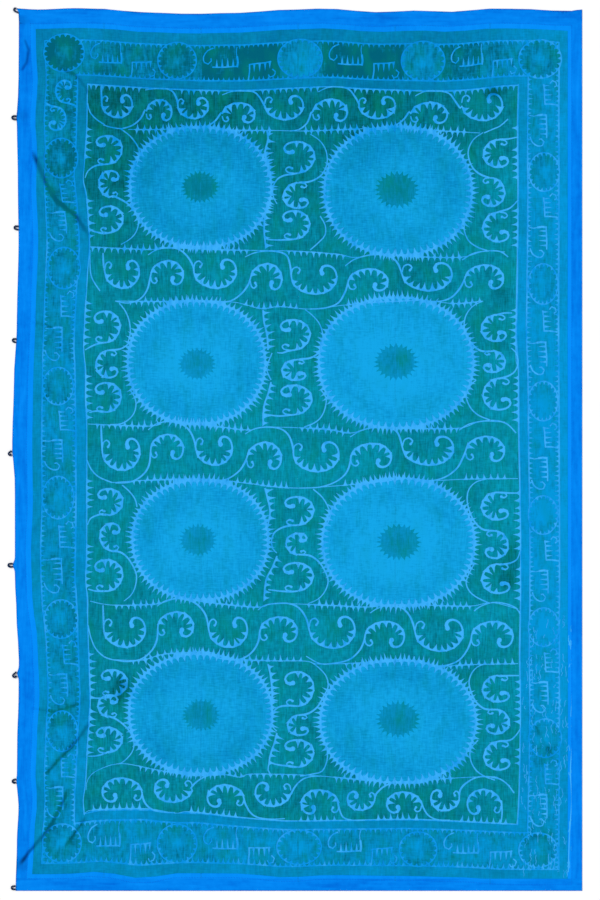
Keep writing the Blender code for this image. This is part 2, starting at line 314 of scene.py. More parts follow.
# Curls of the upright columns at the left, middle and right of the discs
COLUMN_CURLS = (
    ("left_rising", (109, 150), (13, 14), ((103, 164.5), (95, 166), (88, 171), (85, 178))),
    ("right_rising", (109, 184), (10, 13), ((113, 196), (120, 199), (128, 204), (135, 212), (138.5, 222),
        (136, 232), (130, 239), (121, 244.5))),
    ("left_rising", (111, 219.5), (12, 13), ((104, 233.5), (96, 232), (90, 230))),
    ("left_rising", (107, 327), (13, 15.5), ((100, 343), (92, 346), (85, 350))),
    ("right_falling", (107, 364), (11, 13.5), ((133, 338), (127, 345), (120, 349), (112, 350))),
    ("left_rising", (108, 397.5), (13, 14.5), ((103, 411.5), (96, 411), (89, 412.5))),
    ("left_rising", (110, 502), (12.5, 13), ((103, 514), (96, 515.5), (90, 519), (87.5, 525))),
    ("right_rising", (110, 537), (10, 13.5), ((112, 551), (120, 552), (127, 557), (133, 566), (136.5, 576),
        (135, 587), (131, 595), (124, 601))),
    ("left_rising", (108.5, 575.5), (14, 15.5), ((104, 591), (96, 591), (88, 589))),
    ("left_rising", (114, 683), (13, 13), ((110, 697), (103, 698), (92, 698))),
    ("right_rising", (108, 706), (10, 11), ((108, 716), (116, 719), (124, 725), (130, 732), (134, 742),
        (132, 752), (124, 761), (118, 764))),
    ("left_rising", (109, 740), (13, 12.5), ((110, 751), (103, 754), (95, 756), (88, 756))),
    ("left_rising", (299, 157.5), (15.5, 15.5), ((293, 174), (284, 175.5), (277, 179.5), (273, 187),
        (273, 196), (277, 204))),
    ("right_falling", (296, 195.5), (12.5, 12.5), ((310, 134), (320, 141), (326, 151), (327, 163),
        (323, 173), (316, 179), (308, 182), (300, 182.5))),
    ("left_rising", (296, 225), (13.5, 14), ((290, 239.5), (278, 240), (267, 239.5))),
    ("left_rising", (295, 335), (15, 15), ((288, 351), (282, 353), (277, 352.5))),
    ("right_falling", (294, 370), (12, 10), ((305, 309.5), (313, 316), (320, 325), (323, 338), (321, 347),
        (317, 354), (310, 358), (302, 359))),
    ("left_rising", (296, 400), (15.5, 14.5), ((290, 415), (278, 416), (264, 414))),
    ("left_rising", (299, 511), (14.5, 14), ((290, 525.5), (281, 528), (274, 533), (271.5, 541), (273, 549),
        (277, 553))),
    ("right_rising", (296.5, 544), (10.5, 10.5), ((302, 554.5), (311, 556), (319, 562), (325, 571),
        (328, 581), (325, 591), (318, 599), (308, 603.5))),
    ("left_rising", (298, 577), (15, 14), ((290, 591.5), (280, 591), (268, 589.5))),
    ("left_rising", (299, 689), (14.5, 17), ((290, 705.5), (280, 706.5), (274, 711), (271.5, 719),
        (273, 727), (277, 731))),
    ("right_falling", (298, 725), (10.5, 10), ((311, 662), (318, 667), (326, 676), (328, 687), (323, 697),
        (318, 706), (311, 712), (304, 714.5))),
    ("left_rising", (299, 753.5), (14.5, 13.5), ((290, 766), (280, 765), (271, 763))),
    ("right_falling", (496, 153.5), (12.5, 13.5), ((518, 137), (508, 139), (500, 139.5))),
    ("left_falling", (493, 192), (11.5, 14), ((483, 132.5), (473, 140), (468, 152), (471, 165), (478, 173),
        (488, 177.5))),
    ("right_falling", (496, 227), (13, 14.5), ((518, 200), (510, 208), (500, 211.5))),
    ("right_falling", (494, 328), (12.5, 13), ((512, 313), (504, 313), (496, 315))),
    ("left_falling", (494, 361.5), (11, 10.5), ((483, 301), (473, 306), (466, 315), (464, 326), (467, 337),
        (473, 345), (480, 350.5), (488, 351.5))),
    ("right_falling", (497, 394), (14, 15.5), ((511, 348), (516, 353), (518, 362), (515, 371), (508, 376),
        (499, 378.5))),
    ("right_falling", (495, 506), (13.5, 13.5), ((519, 493), (510, 493), (500, 492.5))),
    ("left_falling", (496.5, 544.5), (11.5, 13.5), ((486, 479), (476, 482), (469, 489), (467, 499),
        (469, 510), (474, 521), (482, 529), (490, 530.5))),
    ("right_falling", (496, 578.5), (14, 14.5), ((520, 551), (517, 559), (510, 563), (500, 564.5))),
    ("right_falling", (496, 688.5), (13.5, 13), ((519, 675.5), (510, 675.5), (500, 676))),
    ("left_falling", (497.5, 721.5), (11.5, 12), ((492, 664), (481, 665), (473, 671), (469, 681),
        (471, 692), (476, 702), (484, 708.5), (492, 709.5))),
    ("right_falling", (497, 755.5), (13, 14), ((520, 729), (516, 735), (510, 740), (500, 741))),
)

# Plain scrolling lines beside the curls
SCROLL_LINES = (
    ((87.5, 103), (90, 112), (96, 119), (105, 125)),
    ((484, 133), (492, 129.5), (500, 126), (508, 119)),
    ((462, 260), (473, 253.5), (487, 251), (500, 251.5), (508, 257)),
    ((90, 250), (91, 275), (100, 291)),
    ((459, 430), (468, 424.5), (480, 421.5), (495, 420.5), (507, 424), (516, 433)),
    ((87, 460), (91, 469), (99, 477), (112, 482.5)),
    ((474, 611), (480, 606.5), (492, 602.5), (505, 603.5), (516, 608), (520, 614)),
    ((88, 625), (91, 638), (96, 649), (104, 656.5), (112, 659.5)),
    ((488, 776.5), (500, 779), (508, 785), (514, 793)),
    ((120, 128.5), (130, 136), (138, 147), (139, 155), (136, 165), (130, 170)),
    ((119, 303), (124, 309), (128, 317), (130, 326), (130, 335), (128, 342)),
    ((130, 390), (134, 396), (136, 404), (134, 413), (128, 420), (120, 424), (110, 424.5)),
    ((122, 485), (129, 491), (135, 499), (137, 507)),
    ((320, 216), (325, 225), (325, 235), (318, 243), (310, 250)),
    ((272, 353), (268, 363), (267, 371), (271, 380)),
    ((321, 390), (326, 398), (325, 408), (321, 417), (314, 423), (304, 427)),
    ((313, 489), (322, 497), (328, 507), (330, 516), (327, 524)),
    ((327, 748), (327, 760), (322, 771), (312, 774), (300, 776)),
    ((269, 764), (268, 770), (272, 776)),
    ((470, 205), (466, 215), (464, 228), (468, 240), (477, 247), (487, 250.5)),
    ((476, 380), (469, 387), (466, 396), (470, 407), (478, 415), (490, 420)),
    ((474, 564), (469, 573), (466, 583), (470, 592), (478, 598), (488, 602.5)),
    ((478, 740), (471, 748), (470, 758), (475, 769), (484, 776), (495, 780)),
)

# Lines across the field: points, stretches combed downwards and upwards
CROSS_LINES = (
    (
        ((88, 84.5), (150, 88.5), (200, 90.5), (240, 91), (265, 90), (290, 88.5), (330, 87), (360, 89),
            (400, 90.5), (440, 91.5), (470, 90), (500, 86.5), (518, 85.5)),
        ((90, 140), (177, 222), (260, 318), (352, 415), (453, 516)),
        (),
    ),
    (
        ((128, 129.5), (160, 129.5), (183, 127.5), (205, 127.5), (225, 130), (272, 130.5), (305, 131),
            (345, 129.5), (380, 128), (400, 127), (420, 129.5), (445, 131), (480, 133)),
        ((135, 175), (225, 275), (305, 360), (400, 465)),
        ((135, 175), (212, 275), (305, 360), (400, 465)),
    ),
    (
        ((90, 247), (150, 249.5), (165, 247.5), (230, 250), (290, 251), (335, 254), (355, 257.5),
            (378, 254.5), (425, 257), (462, 257), (485, 251), (505, 252)),
        ((93, 148), (186, 250), (288, 348), (385, 460)),
        ((122, 172), (172, 245), (385, 460)),
    ),
    (
        ((115, 301), (160, 301.5), (197, 300.5), (232, 302), (245, 304.5), (262, 308.5), (280, 306.5),
            (310, 309), (345, 305), (380, 302), (422, 300.5), (455, 303.5), (483, 301)),
        ((130, 190), (452, 480)),
        ((143, 192), (240, 298), (345, 418), (452, 480)),
    ),
    (
        ((88, 424), (150, 426), (167, 421.5), (205, 425), (248, 430), (265, 427), (325, 429), (350, 433),
            (372, 428), (420, 428.5), (460, 428), (480, 421.5), (505, 422)),
        ((92, 146), (193, 243), (297, 348), (400, 457)),
        ((122, 160), (175, 250), (310, 350), (400, 457)),
    ),
    (
        ((112, 482.5), (150, 480), (205, 479), (250, 483.5), (268, 486), (300, 488), (340, 485.5),
            (385, 481), (405, 478.5), (430, 480.5), (470, 479), (518, 478.5)),
        ((130, 240),),
        ((145, 205), (236, 292), (345, 405), (462, 505)),
    ),
    (
        ((90, 601), (112, 605), (155, 604), (178, 598.5), (205, 602), (257, 607), (275, 603.5), (325, 605),
            (368, 607), (390, 604.5), (425, 605), (470, 606), (492, 602.5), (518, 609)),
        ((115, 157), (203, 256), (303, 366), (405, 470)),
        ((130, 160), (205, 260), (318, 365), (405, 470)),
    ),
    (
        ((112, 659.5), (142, 660), (165, 654), (209, 652), (220, 658), (265, 660.5), (305, 661), (320, 664),
            (370, 662.5), (415, 661), (440, 666), (470, 664.5), (518, 663.5)),
        ((130, 165), (240, 262), (345, 362), (440, 475)),
        ((145, 207), (243, 305), (362, 420), (455, 515)),
    ),
    (
        ((86, 790), (88, 779), (98, 770), (122, 763.5), (160, 770.5), (195, 775.5), (225, 774.5),
            (240, 777), (252, 774), (305, 775), (350, 778.5), (392, 782.5), (420, 783), (432, 779.5),
            (488, 776.5), (500, 779), (510, 786)),
        ((138, 190), (250, 300), (332, 372), (422, 455)),
        ((190, 245), (340, 372), (422, 455)),
    ),
    (
        ((85, 813), (95, 809.5), (145, 808.5), (175, 813), (190, 811.5), (240, 817), (285, 820.5),
            (343, 820), (405, 819), (440, 820), (480, 822), (516, 824)),
        (),
        ((92, 143), (190, 238), (298, 340), (375, 420), (457, 510)),
    ),
)

# Sides of the field: points, and stretches combed inwards
LEFT_FIELD = (
    ((88, 84), (87.5, 100), (87, 130), (84.5, 165), (83.5, 180), (87, 197), (89.5, 235), (90, 248),
        (88, 270), (84.5, 330), (84, 350), (86, 372), (86, 400), (87, 424), (87, 545), (86, 580), (88, 600),
        (88, 625), (90.5, 700), (88, 740), (86, 780), (83.5, 800), (84.5, 815)),
    ((123, 162), (200, 240), (300, 345), (373, 420), (475, 512), (545, 590), (653, 700), (705, 755)),
)
RIGHT_FIELD = (
    ((518, 84), (517, 130), (517.5, 200), (517, 250), (515.5, 350), (518, 372), (518, 420), (520, 530),
        (520, 600), (519, 650), (520, 700), (519, 780), (517, 824)),
    ((123, 130), (143, 180), (210, 250), (310, 350), (375, 420), (490, 550), (565, 600), (680, 725),
        (745, 770)),
)

# Inner column lines beside the left discs, combed to the right
COLUMN_LINES = (
    ((267, 131), (268, 140), (265, 152), (268, 165), (268, 176)),
    ((268, 201), (265, 215), (264, 230), (266, 248)),
    ((263, 310), (264, 322), (267, 335), (268, 350)),
    ((271, 382), (268, 394), (264, 406), (263, 424)),
    ((265, 488), (268, 500), (270, 512), (268, 524)),
    ((277, 556), (272, 568), (266, 580), (264, 600)),
    ((268, 664), (271, 678), (272, 692), (272, 704)),
    ((277, 733), (274, 744), (270, 756), (269, 764)),
)

# Discs: left, right, top, bottom, middle of the heart, how light it is, and
# the numbers of the cross lines above and below it
DISCS = (
    (133.5, 267.5, 130.5, 243.5, (200, 187), 0.1, 1, 2),
    (328.0, 468.0, 130.0, 251.5, (397, 190), 0.2, 1, 2),
    (131.5, 261.5, 304.5, 420.5, (197, 364), 0.2, 3, 4),
    (322.5, 469.5, 301.0, 424.5, (396, 362), 0.6, 3, 4),
    (136.0, 264.5, 483.5, 596.0, (198, 540), 0.15, 5, 6),
    (326.0, 470.5, 482.0, 602.5, (399, 542), 0.45, 5, 6),
    (132.5, 268.5, 657.5, 770.0, (201, 715), -0.05, 7, 8),
    (324.0, 472.0, 663.5, 779.0, (398, 719), 0.2, 7, 8),
)
DISC_TEETH = 66
DISC_SQUARENESS = 2.12
DISC_WOBBLE = 0.45
NEAR_GAP = 4.5
NEAR_STEPS = 40
HALO_OVERLAP = 0.6

# A disc's fingers: share of the pitch, and squares out from the disc's line
DISC_FINGER = ((0.0, -3.2), (0.12, -0.4), (0.24, 1.9), (0.5, 2.9), (0.76, 1.9), (0.88, -0.4))
HALO_LINE = 4.6
HALO_TOOTH_FOOT = 4.2
HEART_SIZES = ((19.8, 16.8), (23.0, 19.2))
HEART_PETALS = 24
HEART_NOTCH = 0.22
PETAL_SHOULDER = 0.7
PETAL_UNEVEN = 0.03

# How far down the combs of the bottom start, what the corners keep clear,
# how far teeth, steps and dark lengths stay from a rosette or a line
BOTTOM_COMB_FROM = 850.0
CORNER_CLEAR = 6.0
ROSETTE_CLEAR = 1.02
ROSETTE_GAP = 1.0
DARK_INSET = 0.3

# Where each line of the border lies, as shares from the edging seam to the
# field: left, top, right, bottom, and the finish that starts there
BORDER_RINGS = (
    (0.094, 0.083, 0.074, 0.070, STRIPE),
    (0.234, 0.264, 0.220, 0.224, GROUND),
    (0.260, 0.288, 0.252, 0.246, BAND),
    (0.799, 0.832, 0.797, 0.832, GROUND),
    (0.829, 0.856, 0.825, 0.858, STRIPE),
    (0.978, 0.980, 0.974, 0.978, GROUND),
)
CORNER_STEPS = 6
BORDER_STEPS = 26
LINE_TONE = 0.0
STEP_TONE = 0.25

# Worn lower right: how many loose threads, where, their length, sway and
# tones, and the frayed line of the stripe
WORN_THREADS = 170
WORN_ACROSS = (521.0, 573.0)
WORN_DOWN = (612.0, 872.0)
THREAD_HALF = 0.33
THREAD_LENGTH = (3.0, 11.0)
THREAD_SWAY = 1.1
THREAD_TONES = (0.2, 1.0)
WORN_EDGE = (
    (574.0, 622), (572.6, 645), (573.2, 670), (571.8, 700), (572.6, 735),
    (570.4, 770), (571.6, 800), (569.4, 835), (568.2, 872),
)

# How the bottom border waves: x, and squares down at its outer side
BOTTOM_WAVE = (
    (60, 0.0), (98, -2.5), (142, 5.0), (176, -1.0), (240, -1.0), (285, 3.0),
    (330, 0.5), (400, 1.5), (460, 3.0), (505, 6.0), (570, 6.0),
)

# Rosettes of the border: middle, half size, and tone from dark to light
TOP_ROSETTES = (
    ((64, 52.8), (21, 19.6), -0.65),
    ((177, 60.5), (20, 19), 0.1),
    ((300, 58.5), (23, 20), 0.9),
    ((423, 61), (22.5, 20.5), 0.6),
    ((540, 59), (22, 20), -0.35),
)
BOTTOM_ROSETTES = (
    ((62, 843), (20, 20), -0.2),
    ((177, 843.5), (20.5, 20), 0.3),
    ((299, 847), (23, 18), 0.3),
    ((418, 849), (19.5, 18), 0.0),
    ((538, 850), (20, 18), -0.35),
)
LEFT_ROSETTES = (
    ((61, 158), (17.5, 20.5), -0.3),
    ((64, 268), (17, 21.5), -0.1),
    ((58, 386), (16, 19.5), -0.2),
    ((58, 497.5), (16.5, 22), 0.0),
    ((61, 619), (17.5, 20), -0.3),
    ((62, 731), (16, 21), -0.1),
)
RIGHT_ROSETTES = (
    ((544, 172), (16, 20), -0.4),
    ((543, 284), (15.5, 21), 0.0),
    ((543, 401), (15.5, 20.5), -0.1),
    ((543, 515), (15.5, 20), 0.2),
    ((543.5, 627), (16, 20), 0.2),
    ((545, 738), (17, 20), -0.1),
)
ROSETTES = TOP_ROSETTES + BOTTOM_ROSETTES + LEFT_ROSETTES + RIGHT_ROSETTES
ROSETTE_LOBES = 20
ROSETTE_LINE = 1.3
ROSETTE_NOTCH = 0.17

# Darker lengths of silk in the top border: from, to, and tone
DARK_LENGTHS = (
    (202, 279, -1.0),
    (322, 359, -0.8),
    (359, 404, -0.95),
    (442, 480, -0.6),
    (88, 120, -0.2),
)

# One stepped comb between two rosettes. Along and across run from 0 to 1
STEP_LINES = (
    (((0.18, 0.62), (0.30, 0.625), (0.42, 0.61), (0.50, 0.60)), 0.75),
    (((0.50, 0.63), (0.51, 0.48), (0.50, 0.30)), 1.1),
    (((0.50, 0.32), (0.49, 0.18), (0.50, 0.03)), 0.5),
    (((0.65, 0.56), (0.75, 0.54), (0.86, 0.53), (0.94, 0.50)), 0.75),
    (((0.66, 0.54), (0.66, 0.76), (0.645, 1.00)), 0.8),
    (((0.20, 0.06), (0.12, 0.14), (0.07, 0.32), (0.08, 0.48), (0.13, 0.53), (0.17, 0.44),
        (0.165, 0.36)), 0.75),
    (((0.95, 0.72), (0.99, 0.80), (0.97, 0.92), (0.92, 0.95), (0.90, 0.87)), 0.75),
)
STEP_SPIKES = (
    (0.24, 0.62, -0.26), (0.31, 0.62, -0.30), (0.38, 0.61, -0.30), (0.45, 0.60, -0.26),
    (0.72, 0.55, 0.26), (0.79, 0.54, 0.28), (0.86, 0.53, 0.26), (0.92, 0.51, 0.22),
)
SPIKE_HALF = 0.018

# The first length of the left border has two small curls instead: turn,
# middle, half size, stem
SMALL_CURLS = (
    ("right_rising", (63.5, 91.5), (8, 11), ((77.5, 106.5), (71, 104))),
    ("left_falling", (57.5, 118.5), (8.5, 11.5), ((44.5, 102), (50, 105.5))),
)
SMALL_TEETH = (4.8, 6.4, 6.0)


def as_linear(red, green, blue):
    """A colour on the usual 0 to 255 scale, as light."""
    shares = [value / 255.0 for value in (red, green, blue)]
    return tuple(s / 12.92 if s <= 0.04045 else ((s + 0.055) / 1.055) ** 2.4 for s in shares)


def smooth_step(share):
    return share * share * (3.0 - 2.0 * share)


def read_off(table, place):
    """The second column of a table, eased between the rows of its first."""
    if place <= table[0][0]:
        return table[0][1]
    for (start, low), (end, high) in zip(table, table[1:]):
        if place <= end:
            return low + (high - low) * smooth_step((place - start) / (end - start))
    return table[-1][1]


def read_line(table, place):
    """The second column of a table, straight between the rows of its first."""
    if place <= table[0][0]:
        return table[0][1]
    for (start, low), (end, high) in zip(table, table[1:]):
        if place <= end:
            return low + (high - low) * (place - start) / (end - start)
    return table[-1][1]


def distance_to_path(x, y, path):
    """Distance to a path of points, and how far along it the foot lies, 0 to 1."""
    here = Vector((x, y))
    best = (1.0e9, 0.0)
    spans = len(path) - 1
    for index in range(spans):
        start = Vector(path[index])
        along = Vector(path[index + 1]) - start
        share = min(1.0, max(0.0, (here - start).dot(along) / along.length_squared))
        gap = (start + along * share - here).length
        if gap < best[0]:
            best = (gap, (index + share) / spans)
    return best


def fold_height(x, y):
    """How far the folds lift the cloth off the floor, for a place in metres."""
    across = x - LEFT_LINE
    down = TOP_LINE - y
    height = 0.0
    for crest, half_width, path in FOLDS:
        start = path[0]
        if not (abs(across - start[0]) < FOLD_NEAR[0] and abs(down - start[1]) < FOLD_NEAR[1]):
            continue
        gap, along = distance_to_path(across, down, path)
        if gap < FOLD_REACH * half_width:
            taper = smooth_step(min(1.0, min(along, 1.0 - along) / FOLD_EASE + FOLD_END))
            height += crest * taper * math.exp(-((gap / half_width) ** 2))
    return height if height > LEAST_FOLD else 0.0


def to_chart(x, y):
    """A place in metres, on the chart."""
    return (CHART_LEFT + (x - LEFT_LINE) / SQUARE, CHART_TOP + (TOP_LINE - y) / SQUARE)


def crease_share(x, y, crease):
    """How far into one crease a place on the chart lies, from 0 to 1."""
    _, half_width, _, path = crease
    reach = CREASE_REACH * half_width / SQUARE
    if not (
        min(px for px, _ in path) - reach < x < max(px for px, _ in path) + reach
        and min(py for _, py in path) - reach < y < max(py for _, py in path) + reach
    ):
        return 0.0
    gap, along = distance_to_path(x, y, path)
    ends = smooth_step(min(1.0, min(along, 1.0 - along) * CREASE_EASE + CREASE_END))
    return ends * math.exp(-((gap * SQUARE / half_width) ** 2)) if gap < reach else 0.0


def crease_depth(x, y):
    """How deep the creases press the cloth's face in, for a place in metres."""
    place = to_chart(x, y)
    return sum(crease[0] * crease_share(*place, crease) for crease in CREASES)


def painted_crease_shade(x, y):
    """How dark the painted shade of the creases is at a place on the chart."""
    return sum(crease[2] * crease_share(x, y, crease) for crease in CREASES)


def to_cloth(x, y):
    """A place on the chart, in metres on the floor."""
    return (
        LEFT_LINE + (x - CHART_LEFT) * SQUARE,
        TOP_LINE - (y - CHART_TOP) * SQUARE,
    )


def smooth_line(rows, step=2.6):
    """A smooth curve through rows of x, y and half width."""
    ends = [rows[0], *rows, rows[-1]]
    line = []
    for a, b, c, d in zip(ends, ends[1:], ends[2:], ends[3:]):
        count = max(1, round(math.dist(b[:2], c[:2]) / step))
        for index in range(count):
            t = index / count
            line.append(
                tuple(
                    0.5
                    * (
                        2.0 * q
                        + (r - p) * t
                        + (2.0 * p - 5.0 * q + 4.0 * r - s) * t * t
                        + (3.0 * q - p - 3.0 * r + s) * t * t * t
                    )
                    for p, q, r, s in zip(a, b, c, d)
                )
            )
    line.append(tuple(rows[-1]))
    return line


def signed_area(outline):
    total = 0.0
    for (x0, y0), (x1, y1) in zip(outline, outline[1:] + outline[:1]):
        total += x0 * y1 - x1 * y0
    return total / 2.0


class Chart:
    """The pattern as outlines laid over each other, the last on top."""

    def __init__(self, seed):
        self.outlines = []
        self.finishes = []
        self.tones = []
        self.chance = random.Random(seed)

    def paint(self, outline, finish, tone=0.0):
        """Lays a simple outline, given on the chart, over what is there."""
        placed = [to_cloth(x, y) for x, y in outline]
        area = signed_area(placed)
        if abs(area) < 1.0e-8:
            return
        if area < 0.0:
            placed.reverse()
        self.outlines.append(placed)
        self.finishes.append(finish)
        self.tones.append(tone)

    def stroke(self, line, finish=GROUND, tone=DRAWN_TONE):
        """A line of uneven width, as a row of four-sided pieces."""
        sides = []
        for index, (x, y, half) in enumerate(line):
            before = line[max(0, index - 1)]
            after = line[min(len(line) - 1, index + 1)]
            dx = after[0] - before[0]
            dy = after[1] - before[1]
            length = math.hypot(dx, dy) or 1.0
            out_x = -dy / length * half
            out_y = dx / length * half
            sides.append(((x + out_x, y + out_y), (x - out_x, y - out_y)))
        for (a, b), (d, c) in zip(sides, sides[1:]):
            corners = [a, b, c, d]
            turns = [
                signed_area([corners[k - 1], corners[k], corners[(k + 1) % 4]]) > 0.0
                for k in range(4)
            ]
            if all(turns) or not any(turns):
                self.paint(corners, finish, tone)
            else:
                self.paint([a, b, c], finish, tone)
                self.paint([a, c, d], finish, tone)

    def dot(self, x, y, size, finish=GROUND, tone=DRAWN_TONE):
        ring = [
            (x + size * math.cos(math.tau * k / 8), y + size * math.sin(math.tau * k / 8))
            for k in range(8)
        ]
        self.paint(ring, finish, tone)

    def spike(self, x, y, along, out, base, height, tone=DRAWN_TONE):
        """One pointed tooth on a line, hollow at its sides, as between round lobes."""
        lean = self.chance.uniform(-0.16, 0.16)
        height *= self.chance.uniform(0.75, 1.2)
        half = base * self.chance.uniform(0.44, 0.54)
        ax, ay = along
        ox, oy = out
        outline = []
        for across, up in TOOTH:
            side = across * half + lean * up * height
            rise = up * height
            outline.append((x + ax * side + ox * rise, y + ay * side + oy * rise))
        self.paint(outline, GROUND, tone)

    def comb(self, line, side, teeth, keep=None, tone=DRAWN_TONE):
        """Teeth along one side of a line. keep says where one may stand."""
        pitch, height, base = teeth
        walked = 0.0
        due = pitch * 0.5
        for (x0, y0, *_), (x1, y1, *_) in zip(line, line[1:]):
            length = math.hypot(x1 - x0, y1 - y0)
            while length > 0.0 and due <= walked + length:
                share = (due - walked) / length
                x = x0 + (x1 - x0) * share
                y = y0 + (y1 - y0) * share
                along = ((x1 - x0) / length, (y1 - y0) / length)
                out = (-along[1] * side, along[0] * side)
                if keep is None or keep(x, y):
                    self.spike(x, y, along, out, base, height, tone)
                due += pitch * self.chance.uniform(0.88, 1.12)
            walked += length


def lobed_outline(centre, size, lobes, notch, phase=0.0, steps=4):
    """A round outline of lobes, with a sharp notch between each two."""
    outline = []
    for index in range(lobes * steps):
        share = (index % steps) / steps
        depth = 1.0 - notch * (1.0 - math.sin(math.pi * share)) ** 2
        angle = math.tau * (index / (lobes * steps)) + phase
        outline.append(
            (centre[0] + size[0] * depth * math.cos(angle), centre[1] + size[1] * depth * math.sin(angle))
        )
    return outline


def rim_point(disc, share, out):
    """A point on a disc's line, a little squarer than an ellipse, or out from it."""
    left, right, top, bottom = disc[:4]
    across = math.cos(math.tau * share)
    down = math.sin(math.tau * share)
    size = (abs(across) ** DISC_SQUARENESS + abs(down) ** DISC_SQUARENESS) ** (-1.0 / DISC_SQUARENESS)
    return (
        (left + right) / 2.0 + ((right - left) / 2.0 + out) * across * size,
        (top + bottom) / 2.0 + ((bottom - top) / 2.0 + out) * down * size,
    )


def squared_ring(disc, inset, count):
    return [rim_point(disc, index / count, -inset) for index in range(count)]


def draw_curl(chart, turn, centre, size, stem, teeth=CURL_TEETH, tone=DRAWN_TONE):
    """One curl with its teeth, its small volute and the stem that leads to it."""
    xu, xv, yu, yv = TURNS[turn]

    def place(u, v, half):
        x = centre[0] + size[0] * (xu * u + xv * v)
        y = centre[1] + size[1] * (yu * u + yv * v)
        return (x, y, half)

    body = [place(*row) for row in CURL]
    stem = list(stem)
    if stem and math.dist(stem[0], body[0][:2]) < math.dist(stem[-1], body[0][:2]):
        stem.reverse()
    far, near = STEM_LINE
    stem = [(x, y, far + (near - far) * (k + 1) / len(stem)) for k, (x, y) in enumerate(stem)]
    chart.stroke(smooth_line(stem + body), tone=tone)
    chart.dot(*body[-1][:2], CURL_END, tone=tone)
    volute = [place(*row) for row in VOLUTE]
    chart.stroke(smooth_line(volute, 2.0), tone=tone)
    chart.dot(*volute[-1][:2], VOLUTE_END, tone=tone)
    start, end = CURL_COMB
    inner = smooth_line(body[start : end + 1])
    middle = inner[len(inner) // 2]
    nearby = inner[len(inner) // 2 + 1]
    along = Vector(nearby[:2]) - Vector(middle[:2])
    inwards = Vector(centre) - Vector(middle[:2])
    side = along.x * inwards.y - along.y * inwards.x
    chart.comb(inner, math.copysign(1.0, side), teeth, tone=tone)


def draw_line(chart, points, half=THIN_LINE, tone=DRAWN_TONE):
    line = smooth_line([(x, y, half) for x, y in points], 3.2)
    chart.stroke(line, tone=tone)
    return line


def within(stretches, place):
    return any(low <= place <= high for low, high in stretches)


def draw_field(chart):
    """Scrolls, combs and discs of the middle field."""
    top = smooth_line([(x, y, 0.0) for x, y in CROSS_LINES[0][0]], 12.0)
    bottom = smooth_line([(x, y, 0.0) for x, y in CROSS_LINES[-1][0]], 12.0)
    left = smooth_line([(x, y, 0.0) for x, y in LEFT_FIELD[0]], 12.0)
    right = smooth_line([(x, y, 0.0) for x, y in RIGHT_FIELD[0]], 12.0)
    outline = top + right[1:-1] + bottom[::-1] + left[1:-1][::-1]
    chart.paint([(x, y) for x, y, _ in outline], FIELD)

    for disc in DISCS:
        draw_disc(chart, disc)
    for points in SCROLL_LINES:
        draw_line(chart, points)
    for points, downwards, upwards in CROSS_LINES:
        line = draw_line(chart, points, CROSS_LINE)
        chart.comb(line, 1.0, DOWN_TEETH, lambda x, y: within(downwards, x))
        chart.comb(line, -1.0, UP_TEETH, lambda x, y: within(upwards, x))
    for (points, stretches), side in ((LEFT_FIELD, -1.0), (RIGHT_FIELD, 1.0)):
        line = draw_line(chart, points, SIDE_LINE)
        chart.comb(line, side, SIDE_TEETH, lambda x, y: within(stretches, y))
    for points in COLUMN_LINES:
        line = draw_line(chart, points, COLUMN_LINE)
        chart.comb(line, -1.0, COLUMN_TEETH)
    for curl in BAND_CURLS + COLUMN_CURLS:
        draw_curl(chart, *curl)


def draw_disc(chart, disc):
    """A disc with its fingers, its light halo of teeth, and the small heart in it."""
    halo = squared_ring(disc, -HALO_LINE, DISC_TEETH * 2)
    chart.paint(halo, GROUND, DRAWN_TONE)
    foot = squared_ring(disc, -HALO_TOOTH_FOOT, DISC_TEETH * 2)
    chart.comb(foot + foot[:2], -1.0, RIM_TEETH)
    for edge, upper in (disc[6], True), (disc[7], False):
        fill_to_line(chart, disc, CROSS_LINES[edge][0], upper)
    rows = []
    for index in range(DISC_TEETH):
        wobble = chart.chance.uniform(-DISC_WOBBLE, DISC_WOBBLE)
        for share, out in DISC_FINGER:
            moved = out + (wobble if out > 0.0 else 0.0)
            rows.append(rim_point(disc, (index + share) / DISC_TEETH, moved))
    chart.paint(rows, DISC, disc[5])
    heart_size = HEART_SIZES[1 if disc[0] > CHART_MIDDLE[0] else 0]
    chart.paint(pointed_outline(disc[4], heart_size, HEART_PETALS, HEART_NOTCH, chart.chance), HEART)


def fill_to_line(chart, disc, line, upper):
    """Open ground where a disc's halo comes close to the line above or below it."""
    left, right = disc[:2]
    count = NEAR_STEPS
    halo = squared_ring(disc, -HALO_LINE + HALO_OVERLAP, DISC_TEETH * 4)
    near_line = []
    near_halo = []
    for index in range(1, count):
        x = left + (right - left) * index / count
        line_y = read_line(line, x)
        halo_y = nearest_y(halo, x, upper)
        gap = halo_y - line_y if upper else line_y - halo_y
        if 0.0 < gap < NEAR_GAP:
            near_line.append((x, line_y))
            near_halo.append((x, halo_y))
        elif len(near_line) > 1:
            chart.paint(near_line + near_halo[::-1], GROUND, DRAWN_TONE)
            near_line = []
            near_halo = []
        else:
            near_line = []
            near_halo = []


def pointed_outline(centre, size, petals, notch, chance):
    """A round outline of pointed petals, uneven as by hand."""
    outline = []
    for index in range(petals * 4):
        depth = (0.0, notch * PETAL_SHOULDER, notch, notch * PETAL_SHOULDER)[index % 4]
        depth += chance.uniform(-PETAL_UNEVEN, PETAL_UNEVEN)
        angle = math.tau * index / (petals * 4)
        outline.append(
            (
                centre[0] + size[0] * (1.0 - depth) * math.cos(angle),
                centre[1] + size[1] * (1.0 - depth) * math.sin(angle),
            )
        )
    return outline


